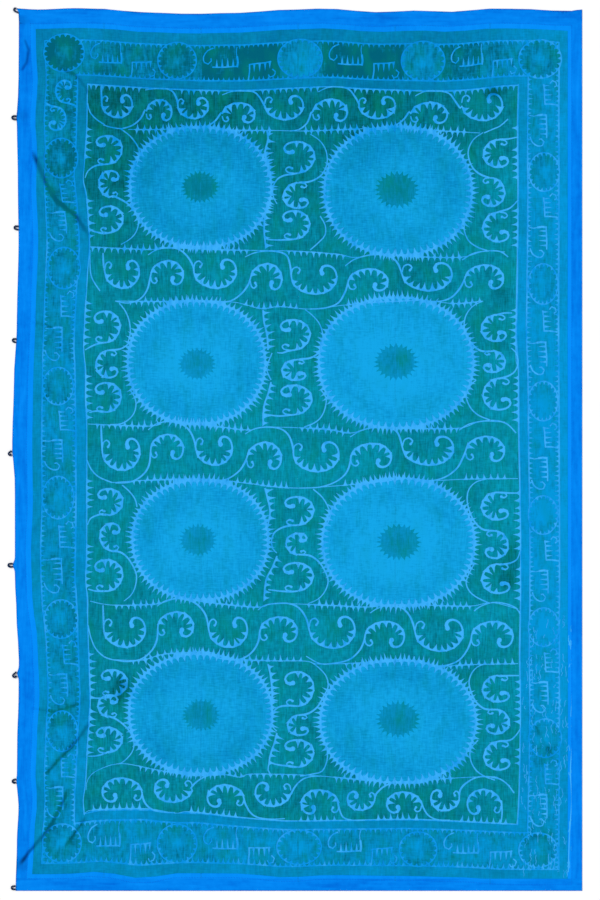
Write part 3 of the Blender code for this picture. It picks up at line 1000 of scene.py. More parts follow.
def border_line(shares):
    """The closed line that lies at the given shares of the border's four sides."""
    left_share, top_share, right_share, bottom_share = shares

    def left(y):
        seam = CHART_LEFT + read_off(LEFT_INNER, (y - CHART_TOP) * SQUARE) / SQUARE
        return seam + left_share * (read_line(LEFT_TABLE, y) - seam)

    def right(y):
        seam = CHART_LEFT + RIGHT_SEAM / SQUARE
        return seam + right_share * (read_line(RIGHT_TABLE, y) - seam)

    def top(x):
        wave = read_off(TOP_OUTER, (x - CHART_LEFT) * SQUARE)
        seam = CHART_TOP + (TOP_EDGING + wave) / SQUARE
        return seam + top_share * (read_line(TOP_TABLE, x) - seam)

    def bottom(x):
        seam = CHART_TOP + (CLOTH_LENGTH - BOTTOM_EDGING) / SQUARE
        wave = read_off(BOTTOM_WAVE, x) * (1.0 - bottom_share) ** 2
        return seam + bottom_share * (read_line(BOTTOM_TABLE, x) - seam) + wave

    corners = []
    for across, down in ((left, top), (right, top), (right, bottom), (left, bottom)):
        x, y = CHART_MIDDLE
        for _ in range(CORNER_STEPS):
            x = across(y)
            y = down(x)
        corners.append((x, y))
    outline = []
    steps = BORDER_STEPS
    tops = [corners[0][0] + (corners[1][0] - corners[0][0]) * k / steps for k in range(steps)]
    outline += [(x, top(x)) for x in tops]
    sides = [corners[1][1] + (corners[2][1] - corners[1][1]) * k / steps for k in range(steps)]
    outline += [(right(y), y) for y in sides]
    tops = [corners[2][0] + (corners[3][0] - corners[2][0]) * k / steps for k in range(steps)]
    outline += [(x, bottom(x)) for x in tops]
    sides = [corners[3][1] + (corners[0][1] - corners[3][1]) * k / (2 * steps) for k in range(2 * steps)]
    outline += [(left(y), y) for y in sides]
    return outline


LEFT_TABLE = [(y, x) for x, y in LEFT_FIELD[0]]
RIGHT_TABLE = [(y, x) for x, y in RIGHT_FIELD[0]]
TOP_TABLE = CROSS_LINES[0][0]
BOTTOM_TABLE = CROSS_LINES[-1][0]


def draw_rosette(chart, centre, size, tone):
    """A round border rosette of many lobes in a light line with teeth turned inwards."""
    phase = chart.chance.uniform(0.0, 0.3)
    chart.paint(lobed_outline(centre, size, ROSETTE_LOBES, 0.0, phase), GROUND, LINE_TONE)
    inner = (size[0] - ROSETTE_LINE, size[1] - ROSETTE_LINE)
    chart.paint(lobed_outline(centre, inner, ROSETTE_LOBES, ROSETTE_NOTCH, phase), BAND, tone)


def draw_steps(chart, place):
    """The stepped comb between two rosettes. place turns along and across to x and y."""
    for points, half in STEP_LINES:
        rows = [(*place(a, b), half) for a, b in points]
        chart.stroke(smooth_line(rows, 3.0), tone=STEP_TONE)
    for a, b, reach in STEP_SPIKES:
        tip = place(a, b + reach)
        side = place(a + SPIKE_HALF, b)
        back = place(a - SPIKE_HALF, b)
        chart.paint([back, side, tip], GROUND, STEP_TONE)


def draw_border(chart):
    """Stripes, rosettes and stepped combs of the border."""
    for *shares, finish in BORDER_RINGS:
        chart.paint(border_line(shares), finish, LINE_TONE if finish == GROUND else 0.0)

    ring_in = BORDER_RINGS[2][:4]
    ring_out = BORDER_RINGS[3][:4]
    outer = border_line(ring_in)
    inner = border_line(ring_out)

    def top_edges(x):
        return nearest_y(outer, x, True), nearest_y(inner, x, True)

    for low, high, tone in DARK_LENGTHS:
        rows = [low + (high - low) * k / 8 for k in range(9)]
        upper = [(x, top_edges(x)[0] + DARK_INSET) for x in rows]
        lower = [(x, top_edges(x)[1] - DARK_INSET) for x in rows]
        chart.paint(upper + lower[::-1], BAND, tone)

    def clear_of_rosettes(x, y):
        return all(math.hypot((x - c[0]) / s[0], (y - c[1]) / s[1]) > ROSETTE_CLEAR for c, s, _ in ROSETTES)

    def at_the_bottom(x, y):
        return y > BOTTOM_COMB_FROM and clear_of_rosettes(x, y)

    def above_the_bottom(x, y):
        return y <= BOTTOM_COMB_FROM and clear_of_rosettes(x, y)

    chart.comb(outer + outer[:1], 1.0, EDGE_TEETH, above_the_bottom, LINE_TONE)
    chart.comb(outer + outer[:1], 1.0, BOTTOM_TEETH, at_the_bottom, LINE_TONE)
    chart.comb(inner + inner[:1], -1.0, EDGE_TEETH, clear_of_rosettes, LINE_TONE)

    for row, across in ((TOP_ROSETTES, True), (BOTTOM_ROSETTES, False)):
        for (start, start_size, _), (end, end_size, _) in zip(row, row[1:]):
            low = start[0] + start_size[0] + ROSETTE_GAP
            high = end[0] - end_size[0] - ROSETTE_GAP

            def place(a, b, low=low, high=high, across=across):
                x = low + (high - low) * a
                ends = sorted((nearest_y(outer, x, across), nearest_y(inner, x, across)))
                return (x, ends[0] + (ends[1] - ends[0]) * b)

            draw_steps(chart, place)
    for whole, near_left in (
        ((*LEFT_ROSETTES, BOTTOM_ROSETTES[0]), True),
        ((TOP_ROSETTES[-1], *RIGHT_ROSETTES, BOTTOM_ROSETTES[-1]), False),
    ):
        for (start, start_size, _), (end, end_size, _) in zip(whole, whole[1:]):
            low = start[1] + start_size[1] + ROSETTE_GAP
            high = end[1] - end_size[1] - ROSETTE_GAP

            def place(a, b, low=low, high=high, near_left=near_left):
                y = high + (low - high) * a
                ends = sorted((nearest_x(outer, y, near_left), nearest_x(inner, y, near_left)))
                return (ends[0] + (ends[1] - ends[0]) * b, y)

            draw_steps(chart, place)
    for turn, centre, size, stem in SMALL_CURLS:
        draw_curl(chart, turn, centre, size, stem, SMALL_TEETH, STEP_TONE)
    for centre, size, tone in ROSETTES:
        draw_rosette(chart, centre, size, tone)
    draw_wear(chart)


def draw_wear(chart):
    """Pale loose threads over the worn lower right of the border."""
    chance = chart.chance
    for _ in range(WORN_THREADS):
        x = chance.uniform(*WORN_ACROSS)
        y = chance.uniform(*WORN_DOWN)
        length = chance.uniform(*THREAD_LENGTH)
        rows = []
        for step in range(4):
            sway = chance.uniform(-THREAD_SWAY, THREAD_SWAY)
            rows.append((x + sway, y + length * step / 3.0, THREAD_HALF))
        chart.stroke(smooth_line(rows, 2.0), tone=chance.uniform(*THREAD_TONES))
    edge = [(x, y, THREAD_HALF * 1.5) for x, y in WORN_EDGE]
    chart.stroke(smooth_line(edge, 4.0), tone=1.0)


def nearest_y(outline, x, upper):
    """Where an outline's upper or lower side crosses an x."""
    found = []
    for (x0, y0), (x1, y1) in zip(outline, outline[1:] + outline[:1]):
        if min(x0, x1) <= x <= max(x0, x1) and abs(x1 - x0) > 0.5:
            found.append(y0 + (y1 - y0) * (x - x0) / (x1 - x0))
    return min(found) if upper else max(found)


def nearest_x(outline, y, left):
    """Where an outline's left or right side crosses a y."""
    rows = [point[1] for point in outline]
    y = min(max(y, min(rows) + CORNER_CLEAR), max(rows) - CORNER_CLEAR)
    found = []
    for (x0, y0), (x1, y1) in zip(outline, outline[1:] + outline[:1]):
        if min(y0, y1) <= y <= max(y0, y1) and abs(y1 - y0) > 0.5:
            found.append(x0 + (x1 - x0) * (y - y0) / (y1 - y0))
    return min(found) if left else max(found)


def node_outline(node):
    """The outline of a CAD sheet's underside, counter-clockwise."""
    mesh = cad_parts[node].data
    spots = {}
    places = []
    keys = []
    for vertex in mesh.vertices:
        key = tuple(round(value, 5) for value in vertex.co)
        if key not in spots:
            spots[key] = len(places)
            places.append(vertex.co.copy())
        keys.append(spots[key])
    following = {}
    for face in mesh.polygons:
        if face.normal.z < -0.5:
            corners = [keys[index] for index in face.vertices]
            for start, end in zip(corners, corners[1:] + corners[:1]):
                following[(start, end)] = True
    rim = {start: end for start, end in following if (end, start) not in following}
    first = next(iter(rim))
    loop = [first]
    while rim[loop[-1]] != first:
        loop.append(rim[loop[-1]])
    outline = [(places[index].x, places[index].y) for index in loop]
    if signed_area(outline) < 0.0:
        outline.reverse()
    return outline


# Cells of the meshes, in metres: loom widths, strips, strip edges, underside
WIDTH_CELL = 0.045
STRIP_CELL = 0.012
STRIP_EDGE_CELL = 0.008
UNDER_CELL = 0.016

# What an outline's filling may reach of its own area before it is left out, how
# much darker the walls beside stitches are painted as shade, and where shading breaks, in degrees
SPILL_SHARE = 1.5
WALL_SHADE_TONE = 0.35
SHARP_ANGLE = 40.0


def lattice_points(low, high, cell):
    """Even points over a box, each row set half a cell aside."""
    points = []
    rows = int((high[1] - low[1]) / cell)
    columns = int((high[0] - low[0]) / cell)
    for row in range(rows + 1):
        for column in range(columns + 1):
            x = low[0] + cell * (column + 0.5 * (row % 2))
            points.append((x, low[1] + cell * row))
    return points


def crease_points(cell=0.0034, reach=0.0150):
    """Close points along the creases, so that they come out narrow."""
    points = []
    for _, _, _, path in CREASES:
        placed = [to_cloth(x, y) for x, y in path]
        low = (min(x for x, _ in placed) - reach, min(y for _, y in placed) - reach)
        high = (max(x for x, _ in placed) + reach, max(y for _, y in placed) + reach)
        for x, y in lattice_points(low, high, cell):
            if distance_to_path(x, y, placed)[0] < reach:
                points.append((x, y))
    return points


def disc_points(cell=4.0):
    """Points over the discs and rosettes, which carry their paler rings."""
    points = []
    for (cx, cy), (rx, ry), _ in ROSETTES:
        for x, y in lattice_points((cx - rx, cy - ry), (cx + rx, cy + ry), cell):
            if math.hypot((x - cx) / rx, (y - cy) / ry) < 0.75:
                points.append(to_cloth(x, y))
    for disc in DISCS:
        for x, y in lattice_points((disc[0], disc[2]), (disc[1], disc[3]), cell):
            if disc_share(disc, x, y) < 0.93:
                points.append(to_cloth(x, y))
    return points


def disc_share(disc, x, y):
    """How far out from a disc's middle a place on the chart lies: 1 is its line."""
    left, right, top, bottom = disc[:4]
    across = (x - (left + right) / 2.0) / ((right - left) / 2.0)
    down = (y - (top + bottom) / 2.0) / ((bottom - top) / 2.0)
    return math.hypot(across, down)


def fold_points(cell=0.009, reach=0.042):
    """Close points along the folds, so that their round backs come out."""
    points = []
    for _, _, path in FOLDS:
        xs = [LEFT_LINE + x for x, _ in path]
        ys = [TOP_LINE - y for _, y in path]
        low = (min(xs) - reach, min(ys) - reach)
        high = (max(xs) + reach, max(ys) + reach)
        for x, y in lattice_points(low, high, cell):
            if distance_to_path(x - LEFT_LINE, TOP_LINE - y, path)[0] < reach:
                points.append((x, y))
    return points


def cut_shapes(outlines, points):
    """Cuts outlines into triangles. Gives the points, the triangles, and which outlines
    hold each. An outline whose filling spills over its own line is left out."""
    corners = []
    faces = []
    for outline in outlines:
        faces.append(list(range(len(corners), len(corners) + len(outline))))
        corners.extend(Vector(point) for point in outline)
    corners.extend(Vector(point) for point in points)
    places, _, triangles, _, _, sources = delaunay_2d_cdt(corners, [], faces, 1, 1.0e-6, True)
    filled = [0.0] * len(outlines)
    for triangle, source in zip(triangles, sources):
        area = abs(signed_area([places[corner] for corner in triangle]))
        for number in source:
            filled[number] += area
    spilled = {
        number for number, outline in enumerate(outlines)
        if filled[number] > SPILL_SHARE * abs(signed_area(outline)) + 1.0e-6
    }
    held = []
    for triangle, source in zip(triangles, sources):
        rest = [number for number in source if number not in spilled]
        if rest:
            held.append((list(triangle), rest))
    return places, [triangle for triangle, _ in held], [source for _, source in held]


def sheet_mesh(name, places, triangles, finishes, tones, levels, materials, side_finish):
    """A closed sheet: its top at each shape's level, small walls between, rim and underside."""
    vertices = []
    spots = {}
    faces = []
    face_finishes = []
    face_tones = []
    heights = {}

    def spot(index, level):
        key = (index, level)
        if key not in spots:
            x, y = places[index]
            if index not in heights:
                heights[index] = (fold_height(x, y), crease_depth(x, y))
            lift, press = heights[index]
            spots[key] = len(vertices)
            pressed = min(press, max(0.0, level - LEAST_CLOTH))
            vertices.append((x, y, lift + level - pressed))
        return spots[key]

    owners = {}
    for number, corners in enumerate(triangles):
        level = levels[finishes[number]]
        faces.append([spot(index, level) for index in corners])
        face_finishes.append(finishes[number])
        face_tones.append(tones[number])
        for start, end in zip(corners, corners[1:] + corners[:1]):
            owners[(start, end)] = number
    rim = {}
    for (start, end), number in owners.items():
        other = owners.get((end, start))
        level = levels[finishes[number]]
        if other is None:
            rim[start] = end
            faces.append([spot(start, level), spot(start, 0.0), spot(end, 0.0), spot(end, level)])
            face_finishes.append(side_finish)
            face_tones.append(tones[number])
            continue
        below = levels[finishes[other]]
        if level > below + 1.0e-7:
            faces.append([spot(start, level), spot(start, below), spot(end, below), spot(end, level)])
            face_finishes.append(finishes[number])
            # Walls beside stitches get a darker tone: painted shade
            face_tones.append(tones[number] - WALL_SHADE_TONE)
    while rim:
        first = next(iter(rim))
        loop = [first]
        while rim[loop[-1]] != first:
            loop.append(rim[loop[-1]])
        for index in loop:
            del rim[index]
        outline = [places[index] for index in loop]
        inside = fold_points(UNDER_CELL)
        under_places, under_triangles, sources = cut_under(outline, inside)
        lookup = {}
        for number, origins in enumerate(sources):
            known = [origin for origin in origins if origin < len(loop)]
            if known:
                lookup[number] = spot(loop[known[0]], 0.0)
        for number, place in enumerate(under_places):
            if number not in lookup:
                lookup[number] = len(vertices)
                vertices.append((place.x, place.y, fold_height(place.x, place.y)))
        for corners in under_triangles:
            faces.append([lookup[index] for index in reversed(corners)])
            face_finishes.append(0)
            face_tones.append(0.0)
    mesh = bpy.data.meshes.new(name)
    mesh.from_pydata(vertices, [], faces)
    for material in materials:
        mesh.materials.append(material)
    mesh.polygons.foreach_set("material_index", face_finishes)
    mesh.polygons.foreach_set("use_smooth", [True] * len(faces))
    tone = mesh.attributes.new("tone", "FLOAT", "FACE")
    tone.data.foreach_set("value", face_tones)
    mesh.validate()
    mesh.update()
    mesh.set_sharp_from_angle(angle=math.radians(SHARP_ANGLE))
    return mesh


def cut_under(outline, points):
    """The underside's few triangles, on the same rim."""
    corners = [Vector(point) for point in outline]
    rim = list(range(len(corners)))
    corners.extend(Vector(point) for point in points)
    places, _, triangles, origins, _, sources = delaunay_2d_cdt(corners, [], [rim], 1, 1.0e-6, True)
    return places, [triangle for triangle, source in zip(triangles, sources) if source], origins


class Signal:
    """A shader socket that takes Python's arithmetic signs."""

    def __init__(self, shop, socket):
        self.shop = shop
        self.socket = socket

    def sum(self, operation, first, second):
        return self.shop.node("ShaderNodeMath", {"operation": operation}, {0: first, 1: second})

    def __add__(self, other):
        return self.sum("ADD", self, other)

    def __radd__(self, other):
        return self.sum("ADD", other, self)

    def __sub__(self, other):
        return self.sum("SUBTRACT", self, other)

    def __rsub__(self, other):
        return self.sum("SUBTRACT", other, self)

    def __mul__(self, other):
        return self.sum("MULTIPLY", self, other)

    def __rmul__(self, other):
        return self.sum("MULTIPLY", other, self)

    def __pow__(self, other):
        return self.sum("POWER", self, other)


class Finish:
    """One material, and the nodes that give it its look."""

    def __init__(self, name):
        self.material = bpy.data.materials.new(name)
        self.material.use_nodes = True
        self.tree = self.material.node_tree
        self.shader = self.tree.nodes["Principled BSDF"]
        place = self.tree.nodes.new("ShaderNodeTexCoord")
        self.place = Signal(self, place.outputs["Object"])

    def connect(self, socket, value):
        if isinstance(value, Signal):
            self.tree.links.new(value.socket, socket)
        else:
            socket.default_value = value

    def node(self, kind, settings, sockets, output=0):
        """A node of any kind: its settings first, then its sockets' values or links."""
        made = self.tree.nodes.new(kind)
        stops = settings.pop("stops", None)
        for name, value in settings.items():
            setattr(made, name, value)
        if stops:
            ramp = made.color_ramp
            while len(ramp.elements) < len(stops):
                ramp.elements.new(0.5)
            for element, (position, value) in zip(ramp.elements, stops):
                element.position = position
                element.color = (value, value, value, 1.0)
        for key, value in sockets.items():
            self.connect(made.inputs[key], value)
        return Signal(self, made.outputs[output])

    def attribute(self, name):
        return self.node("ShaderNodeAttribute", {"attribute_name": name}, {}, "Fac")

    def noise(self, scale, turns=(1.0, 1.0, 1.0), detail=2.0):
        stretched = self.node("ShaderNodeMapping", {}, {"Vector": self.place, "Scale": turns})
        return self.node(
            "ShaderNodeTexNoise",
            {"noise_dimensions": "3D"},
            {"Vector": stretched, "Scale": scale, "Detail": detail},
            "Fac",
        )

    def between(self, value, low, high):
        """A value stretched so that low gives 0 and high gives 1, and held there."""
        return self.node(
            "ShaderNodeMapRange",
            {"clamp": True},
            {"Value": value, "From Min": low, "From Max": high, "To Min": 0.0, "To Max": 1.0},
        )

    def mix(self, share, first, second):
        return self.node(
            "ShaderNodeMix",
            {"data_type": "RGBA", "clamp_factor": True},
            {0: share, 6: colour_value(first), 7: colour_value(second)},
            2,
        )

    def set(self, **values):
        for name, value in values.items():
            self.connect(self.shader.inputs[name.replace("_", " ")], value)

    def bump(self, height, strength, distance):
        surface = self.node(
            "ShaderNodeBump", {}, {"Height": height, "Strength": strength, "Distance": distance}, "Normal"
        )
        self.connect(self.shader.inputs["Normal"], surface)


def colour_value(value):
    return value if isinstance(value, Signal) else (*value, 1.0)


def hue_of(colour):
    """A colour at its fullest, for the tint of a thread's shine."""
    return tuple(value / max(colour) for value in colour)


# How strong each unevenness of the silk is: upright streaks, rows of stitch
# ends, mottling, wide clouds, and the greener dye lots
FIELD_LOOK = (0.9, 0.5, 0.75, 0.7, 0.55)
HEART_LOOK = (0.5, 0.3, 0.4, 0.4, 0.6)
DISC_LOOK = (0.9, 1.15, 0.8, 0.8, 0.25)
BAND_LOOK = (0.9, 0.6, 1.2, 1.1, 0.5)
STRIPE_LOOK = (0.6, 0.6, 0.7, 0.9, 0.2)
GREEN_LOT = (4, 132, 112)
# Dark colours of the cotton and the silk, mixed in for real stains and for painted shade along the edges and
# creases
COTTON_SHADE_AND_SOIL = (2, 48, 96)
SILK_SHADE_AND_SOIL = (0, 78, 112)


def stitch_finish(name, dark, middle, light, look):
    """Silk filling: long upright threads, with the dye lots' streaks in them."""
    streak_depth, row_depth, mottle_depth, cloud_depth, green_depth = look
    finish = Finish(name)
    threads = finish.noise(1.0, (800.0, 45.0, 1.0), 1.0)
    streaks = finish.noise(1.0, (250.0, 24.0, 1.0), 2.0)
    rows = finish.noise(1.0, (45.0, 240.0, 1.0), 2.0)
    mottle = finish.noise(1.0, (75.0, 42.0, 1.0), 3.0)
    clouds = finish.noise(7.0, detail=4.0)
    lots = finish.noise(1.0, (26.0, 12.0, 1.0), 2.0)
    tone = finish.attribute("tone")
    stain_and_shade = finish.attribute("stain_and_shade")
    # Stains and fades, and painted shade along the creases, darken the silk through this attribute
    level = (
        0.5
        + 0.45 * tone
        + streak_depth * (streaks - 0.5)
        + 0.35 * (threads - 0.5)
        + row_depth * (rows - 0.5)
        + mottle_depth * (mottle - 0.5)
        + cloud_depth * (clouds - 0.5)
        - 0.5 * stain_and_shade
    )
    lower = finish.between(level, 0.0, 0.5)
    upper = finish.between(level, 0.5, 1.0)
    colour = finish.mix(upper, finish.mix(lower, dark, middle), light)
    green = green_depth * finish.between(lots, 0.42, 0.72) * (1.0 - 0.5 * upper)
    colour = finish.mix(green, colour, as_linear(*GREEN_LOT))
    colour = finish.mix(0.6 * finish.between(stain_and_shade, 0.9, 2.2), colour, as_linear(*SILK_SHADE_AND_SOIL))
    finish.set(Base_Color=colour, Metallic=0.0)
    finish.set(Roughness=0.62 - 0.18 * (streaks - 0.5))
    finish.set(Specular_IOR_Level=0.18, Specular_Tint=(*hue_of(light), 1.0))
    finish.bump(threads + 0.8 * streaks, 0.35, 0.0006)
    return finish.material


def cloth_finish(name, dark, middle, light, upright):
    """Plain cotton weave, with faint slubs both ways and creases along its length, whose shade and light are
    also painted into the colour.
    """
    finish = Finish(name)
    warp = finish.noise(1.0, (1500.0, 40.0, 1.0), 1.0)
    weft = finish.noise(1.0, (40.0, 1500.0, 1.0), 1.0)
    slubs = finish.noise(1.0, (160.0, 16.0, 1.0) if upright else (16.0, 160.0, 1.0), 3.0)
    puckers_and_shade = finish.noise(1.0, (70.0, 9.0, 1.0) if upright else (9.0, 70.0, 1.0), 3.0)
    mottle = finish.noise(60.0, detail=3.0)
    clouds = finish.noise(5.0, detail=4.0)
    tone = finish.attribute("tone")
    stain_and_shade = finish.attribute("stain_and_shade")
    # The puckers' shade and light are painted into the colour here; the stain attribute adds real stains and
    # painted shade along the edges and creases
    level = (
        0.5
        + 0.5 * tone
        + 0.4 * (slubs - 0.5)
        + 0.9 * (puckers_and_shade - 0.5)
        + 0.5 * (mottle - 0.5)
        + 0.8 * (clouds - 0.5)
        + 0.2 * (warp - 0.5)
        - 0.3 * stain_and_shade
    )
    lower = finish.between(level, 0.0, 0.5)
    upper = finish.between(level, 0.5, 1.0)
    colour = finish.mix(upper, finish.mix(lower, dark, middle), light)
    colour = finish.mix(finish.between(stain_and_shade, 0.5, 2.2), colour, as_linear(*COTTON_SHADE_AND_SOIL))
    finish.set(Base_Color=colour, Metallic=0.0)
    finish.set(Roughness=0.86 - 0.1 * (slubs - 0.5))
    finish.set(Specular_IOR_Level=0.08, Specular_Tint=(*hue_of(light), 1.0))
    finish.bump(warp + weft + 2.5 * puckers_and_shade, 0.3, 0.0006)
    return finish.material


def cord_finish(name, dark, light):
    """Twisted thread or cord, between two shades."""
    finish = Finish(name)
    fibres = finish.noise(1800.0, detail=2.0)
    finish.set(Base_Color=finish.mix(fibres, dark, light), Metallic=0.0)
    finish.set(Roughness=0.8 + 0.1 * (fibres - 0.5))
    finish.set(Specular_IOR_Level=0.1)
    finish.bump(fibres, 0.4, 0.0003)
    return finish.material


def place_piece(name, mesh, nodes):
    """Puts a finished mesh in the scene, on the frame's body, in place of any nodes named."""
    piece = bpy.data.objects.new(name, mesh)
    bpy.context.scene.collection.objects.link(piece)
    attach(piece, ROW_BODY)
    if nodes:
        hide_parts(*nodes)
    return piece


def grown(outline, reach):
    """An outline moved outwards by a reach all round."""
    moved = []
    count = len(outline)
    for index in range(count):
        before = Vector(outline[index - 1])
        here = Vector(outline[index])
        after = Vector(outline[(index + 1) % count])
        first = (here - before).normalized()
        second = (after - here).normalized()
        normal = Vector((first.y + second.y, -first.x - second.x))
        if normal.length < 1.0e-6:
            moved.append(tuple(here))
            continue
        normal.normalize()
        stretch = max(0.3, normal.dot(Vector((second.y, -second.x))))
        moved.append(tuple(here + normal * (reach / stretch)))
    return moved


def dense(outline, cell):
    """An outline with points at most a cell apart."""
    rows = []
    for start, end in zip(outline, outline[1:] + outline[:1]):
        count = max(1, round(math.dist(start, end) / cell))
        for index in range(count):
            share = index / count
            rows.append((start[0] + (end[0] - start[0]) * share, start[1] + (end[1] - start[1]) * share))
    return rows


def left_outer(down):
    """The left side's outer line, drawn out a little at each loop."""
    across = read_off(LEFT_OUTER, down)
    for loop_down, _, _, pull in LOOPS:
        across -= pull * math.exp(-(((down - loop_down) / PULL_REACH) ** 2))
    return across


def painted_edge_shade(x, y):
    """How dark the painted shade along the outer edge makes a place in metres."""
    across = x - LEFT_LINE
    down = TOP_LINE - y
    top = read_off(TOP_OUTER, across) * (1.0 - min(1.0, max(0.0, down / CLOTH_LENGTH)))
    gaps = (across - left_outer(down), CLOTH_WIDTH - across, down - top, CLOTH_LENGTH - down)
    return max(
        shade * math.exp(-((max(0.0, gap) / EDGE_SHADE_REACH) ** 2)) for shade, gap in zip(EDGE_SHADE, gaps)
    )


def add_edge_tones(mesh):
    """Painted shade along the outer edge, in the creases and at the edging's shaded places, stored on the
    mesh's points.
    """
    values = []
    for vertex in mesh.vertices:
        x, y, _ = vertex.co
        place = to_chart(x, y)
        values.append(painted_edge_shade(x, y) + painted_crease_shade(*place) + soft_places(EDGING_SHADE_PLACES, *place))
    stain_and_shade = mesh.attributes.new("stain_and_shade", "FLOAT", "POINT")
    stain_and_shade.data.foreach_set("value", values)


def soft_places(places, x, y):
    """The depths that round soft places add up to at a place on the chart."""
    total = 0.0
    for (cx, cy), (rx, ry), depth in places:
        gap = ((x - cx) / rx) ** 2 + ((y - cy) / ry) ** 2
        if gap < PLACE_REACH:
            total += depth * math.exp(-gap)
    return total


def loop_route(down, reach, slant):
    """Centre line of one loop, in metres on the floor: leg, round end and leg."""
    tilt = math.radians(slant)
    outward = Vector((-math.cos(tilt), math.sin(tilt)))
    sideways = Vector((-outward.y, outward.x))
    bend = LOOP_EYE / 2.0 + CORD_RADIUS
    turn = Vector((left_outer(down), down)) + outward * (reach - bend - CORD_RADIUS)
    clear = LOOP_CLEARANCE + (PLY_RADIUS + PLY_OFFSET) * abs(math.sin(tilt))
    ends = []
    for side in (1.0, -1.0):
        foot = turn + sideways * bend * side
        end = foot
        for _ in range(LOOP_FIT_STEPS):
            beside = [left_outer(end.y + near * CORD_RADIUS) for near in (-1.0, 0.0, 1.0)]
            edge = min(beside) - clear
            end = foot + outward * min(-LOOP_CLEARANCE, (edge - foot.x) / outward.x)
        ends.append(end)
    arc = []
    for step in range(LOOP_BEND_STEPS + 1):
        angle = math.pi * step / LOOP_BEND_STEPS
        arc.append(turn + (sideways * math.cos(angle) + outward * math.sin(angle)) * bend)
    sag = read_off(TOP_OUTER, left_outer(down)) * (1.0 - min(1.0, max(0.0, down / CLOTH_LENGTH)))
    route = [ends[0], *arc, ends[1]]
    height = PLY_RADIUS + PLY_OFFSET
    return [Vector((LEFT_LINE + point.x, TOP_LINE - point.y - sag, height)) for point in route]


def walk(route, step):
    """Even stations on a route, each with its direction."""
    stations = []
    for start, end in zip(route, route[1:]):
        length = (end - start).length
        count = max(1, round(length / step))
        for index in range(count):
            stations.append((start.lerp(end, index / count), (end - start).normalized()))
    stations.append((route[-1], (route[-1] - route[-2]).normalized()))
    return stations


def twisted_mesh(name, route, material):
    """A cord of two plies laid round each other along a route, closed at its ends."""
    vertices = []
    faces = []
    stations = walk(route, CORD_STEP)
    up = Vector((0.0, 0.0, 1.0))
    for ply in range(2):
        walked = 0.0
        first = len(vertices)
        rings = 0
        for index, (place, direction) in enumerate(stations):
            if index:
                walked += (place - stations[index - 1][0]).length
            side = direction.cross(up).normalized()
            turn = math.tau * walked / PLY_LAY + math.pi * ply
            middle = place + (side * math.cos(turn) + up * math.sin(turn)) * PLY_OFFSET
            for corner in range(PLY_SIDES):
                angle = math.tau * corner / PLY_SIDES
                vertices.append(middle + (side * math.cos(angle) + up * math.sin(angle)) * PLY_RADIUS)
            rings += 1
        for ring in range(rings - 1):
            for corner in range(PLY_SIDES):
                here = first + ring * PLY_SIDES + corner
                beside = first + ring * PLY_SIDES + (corner + 1) % PLY_SIDES
                faces.append([here, here + PLY_SIDES, beside + PLY_SIDES, beside])
        faces.append([first + corner for corner in range(PLY_SIDES)])
        last = first + (rings - 1) * PLY_SIDES
        faces.append([last + corner for corner in reversed(range(PLY_SIDES))])
    mesh = bpy.data.meshes.new(name)
    mesh.from_pydata([tuple(vertex) for vertex in vertices], [], faces)
    mesh.materials.append(material)
    mesh.polygons.foreach_set("use_smooth", [True] * len(faces))
    mesh.validate()
    mesh.update()
    return mesh


def seam_mesh(name, lines, stitch, material):
    """A row of small stitches across each line, as one mesh."""
    pitch, length, width, lean, level = stitch
    vertices = []
    faces = []
    for line in lines:
        for place, direction in walk(line, pitch):
            across = Vector((-direction.y, direction.x, 0.0))
            along = (across + direction * lean).normalized()
            beside = Vector((-along.y, along.x, 0.0))
            foot = place + Vector((0.0, 0.0, fold_height(place.x, place.y) + level))
            first = len(vertices)
            for rise, shrink in ((0.0, 1.0), (STITCH_RISE, 0.55)):
                for end, side in ((-1.0, -1.0), (1.0, -1.0), (1.0, 1.0), (-1.0, 1.0)):
                    vertices.append(
                        foot
                        + along * (end * length / 2.0 * (shrink + 1.0) / 2.0)
                        + beside * (side * width / 2.0 * shrink)
                        + Vector((0.0, 0.0, rise))
                    )
            for corners in BAR_FACES:
                faces.append([first + corner for corner in corners])
    mesh = bpy.data.meshes.new(name)
    mesh.from_pydata([tuple(vertex) for vertex in vertices], [], faces)
    mesh.materials.append(material)
    mesh.update()
    return mesh


def loom_seam_lines():
    """The seams between the loom widths, in metres."""
    whole = border_line((0.0, 0.0, 0.0, 0.0))
    lines = []
    for across in LOOM_SEAMS:
        x = CHART_LEFT + across / SQUARE
        ends = [to_cloth(x, nearest_y(whole, x, upper)) for upper in (True, False)]
        lines.append([Vector((*end, 0.0)) for end in ends])
    return lines


def edging_seam_line():
    """The seam between the widths and the edging, all round, in metres."""
    placed = [Vector((*to_cloth(x, y), 0.0)) for x, y in border_line((0.0, 0.0, 0.0, 0.0))]
    return placed + placed[:1]


def flat_size(node):
    """Width and length of a flat CAD sheet."""
    low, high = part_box(node)
    return (high.x - low.x, high.y - low.y)


def add_vertex_tones(mesh):
    """Soft stains and wear, with painted shade in the creases, stored on the mesh's points."""
    values = []
    for vertex in mesh.vertices:
        x = CHART_LEFT + (vertex.co.x - LEFT_LINE) / SQUARE
        y = CHART_TOP + (TOP_LINE - vertex.co.y) / SQUARE
        values.append(stain_and_shade_at(x, y))
    stain_and_shade = mesh.attributes.new("stain_and_shade", "FLOAT", "POINT")
    stain_and_shade.data.foreach_set("value", values)


# The painted shade along the outer edge: its strength at the left, right, top and
# bottom, its reach, and the rows of points that carry it
EDGE_SHADE = (1.1, 0.2, 1.3, 0.9)
EDGE_SHADE_REACH = 0.0022
EDGE_INSETS = (0.0015, 0.0035)
SEAM_CLOSE = 0.00013

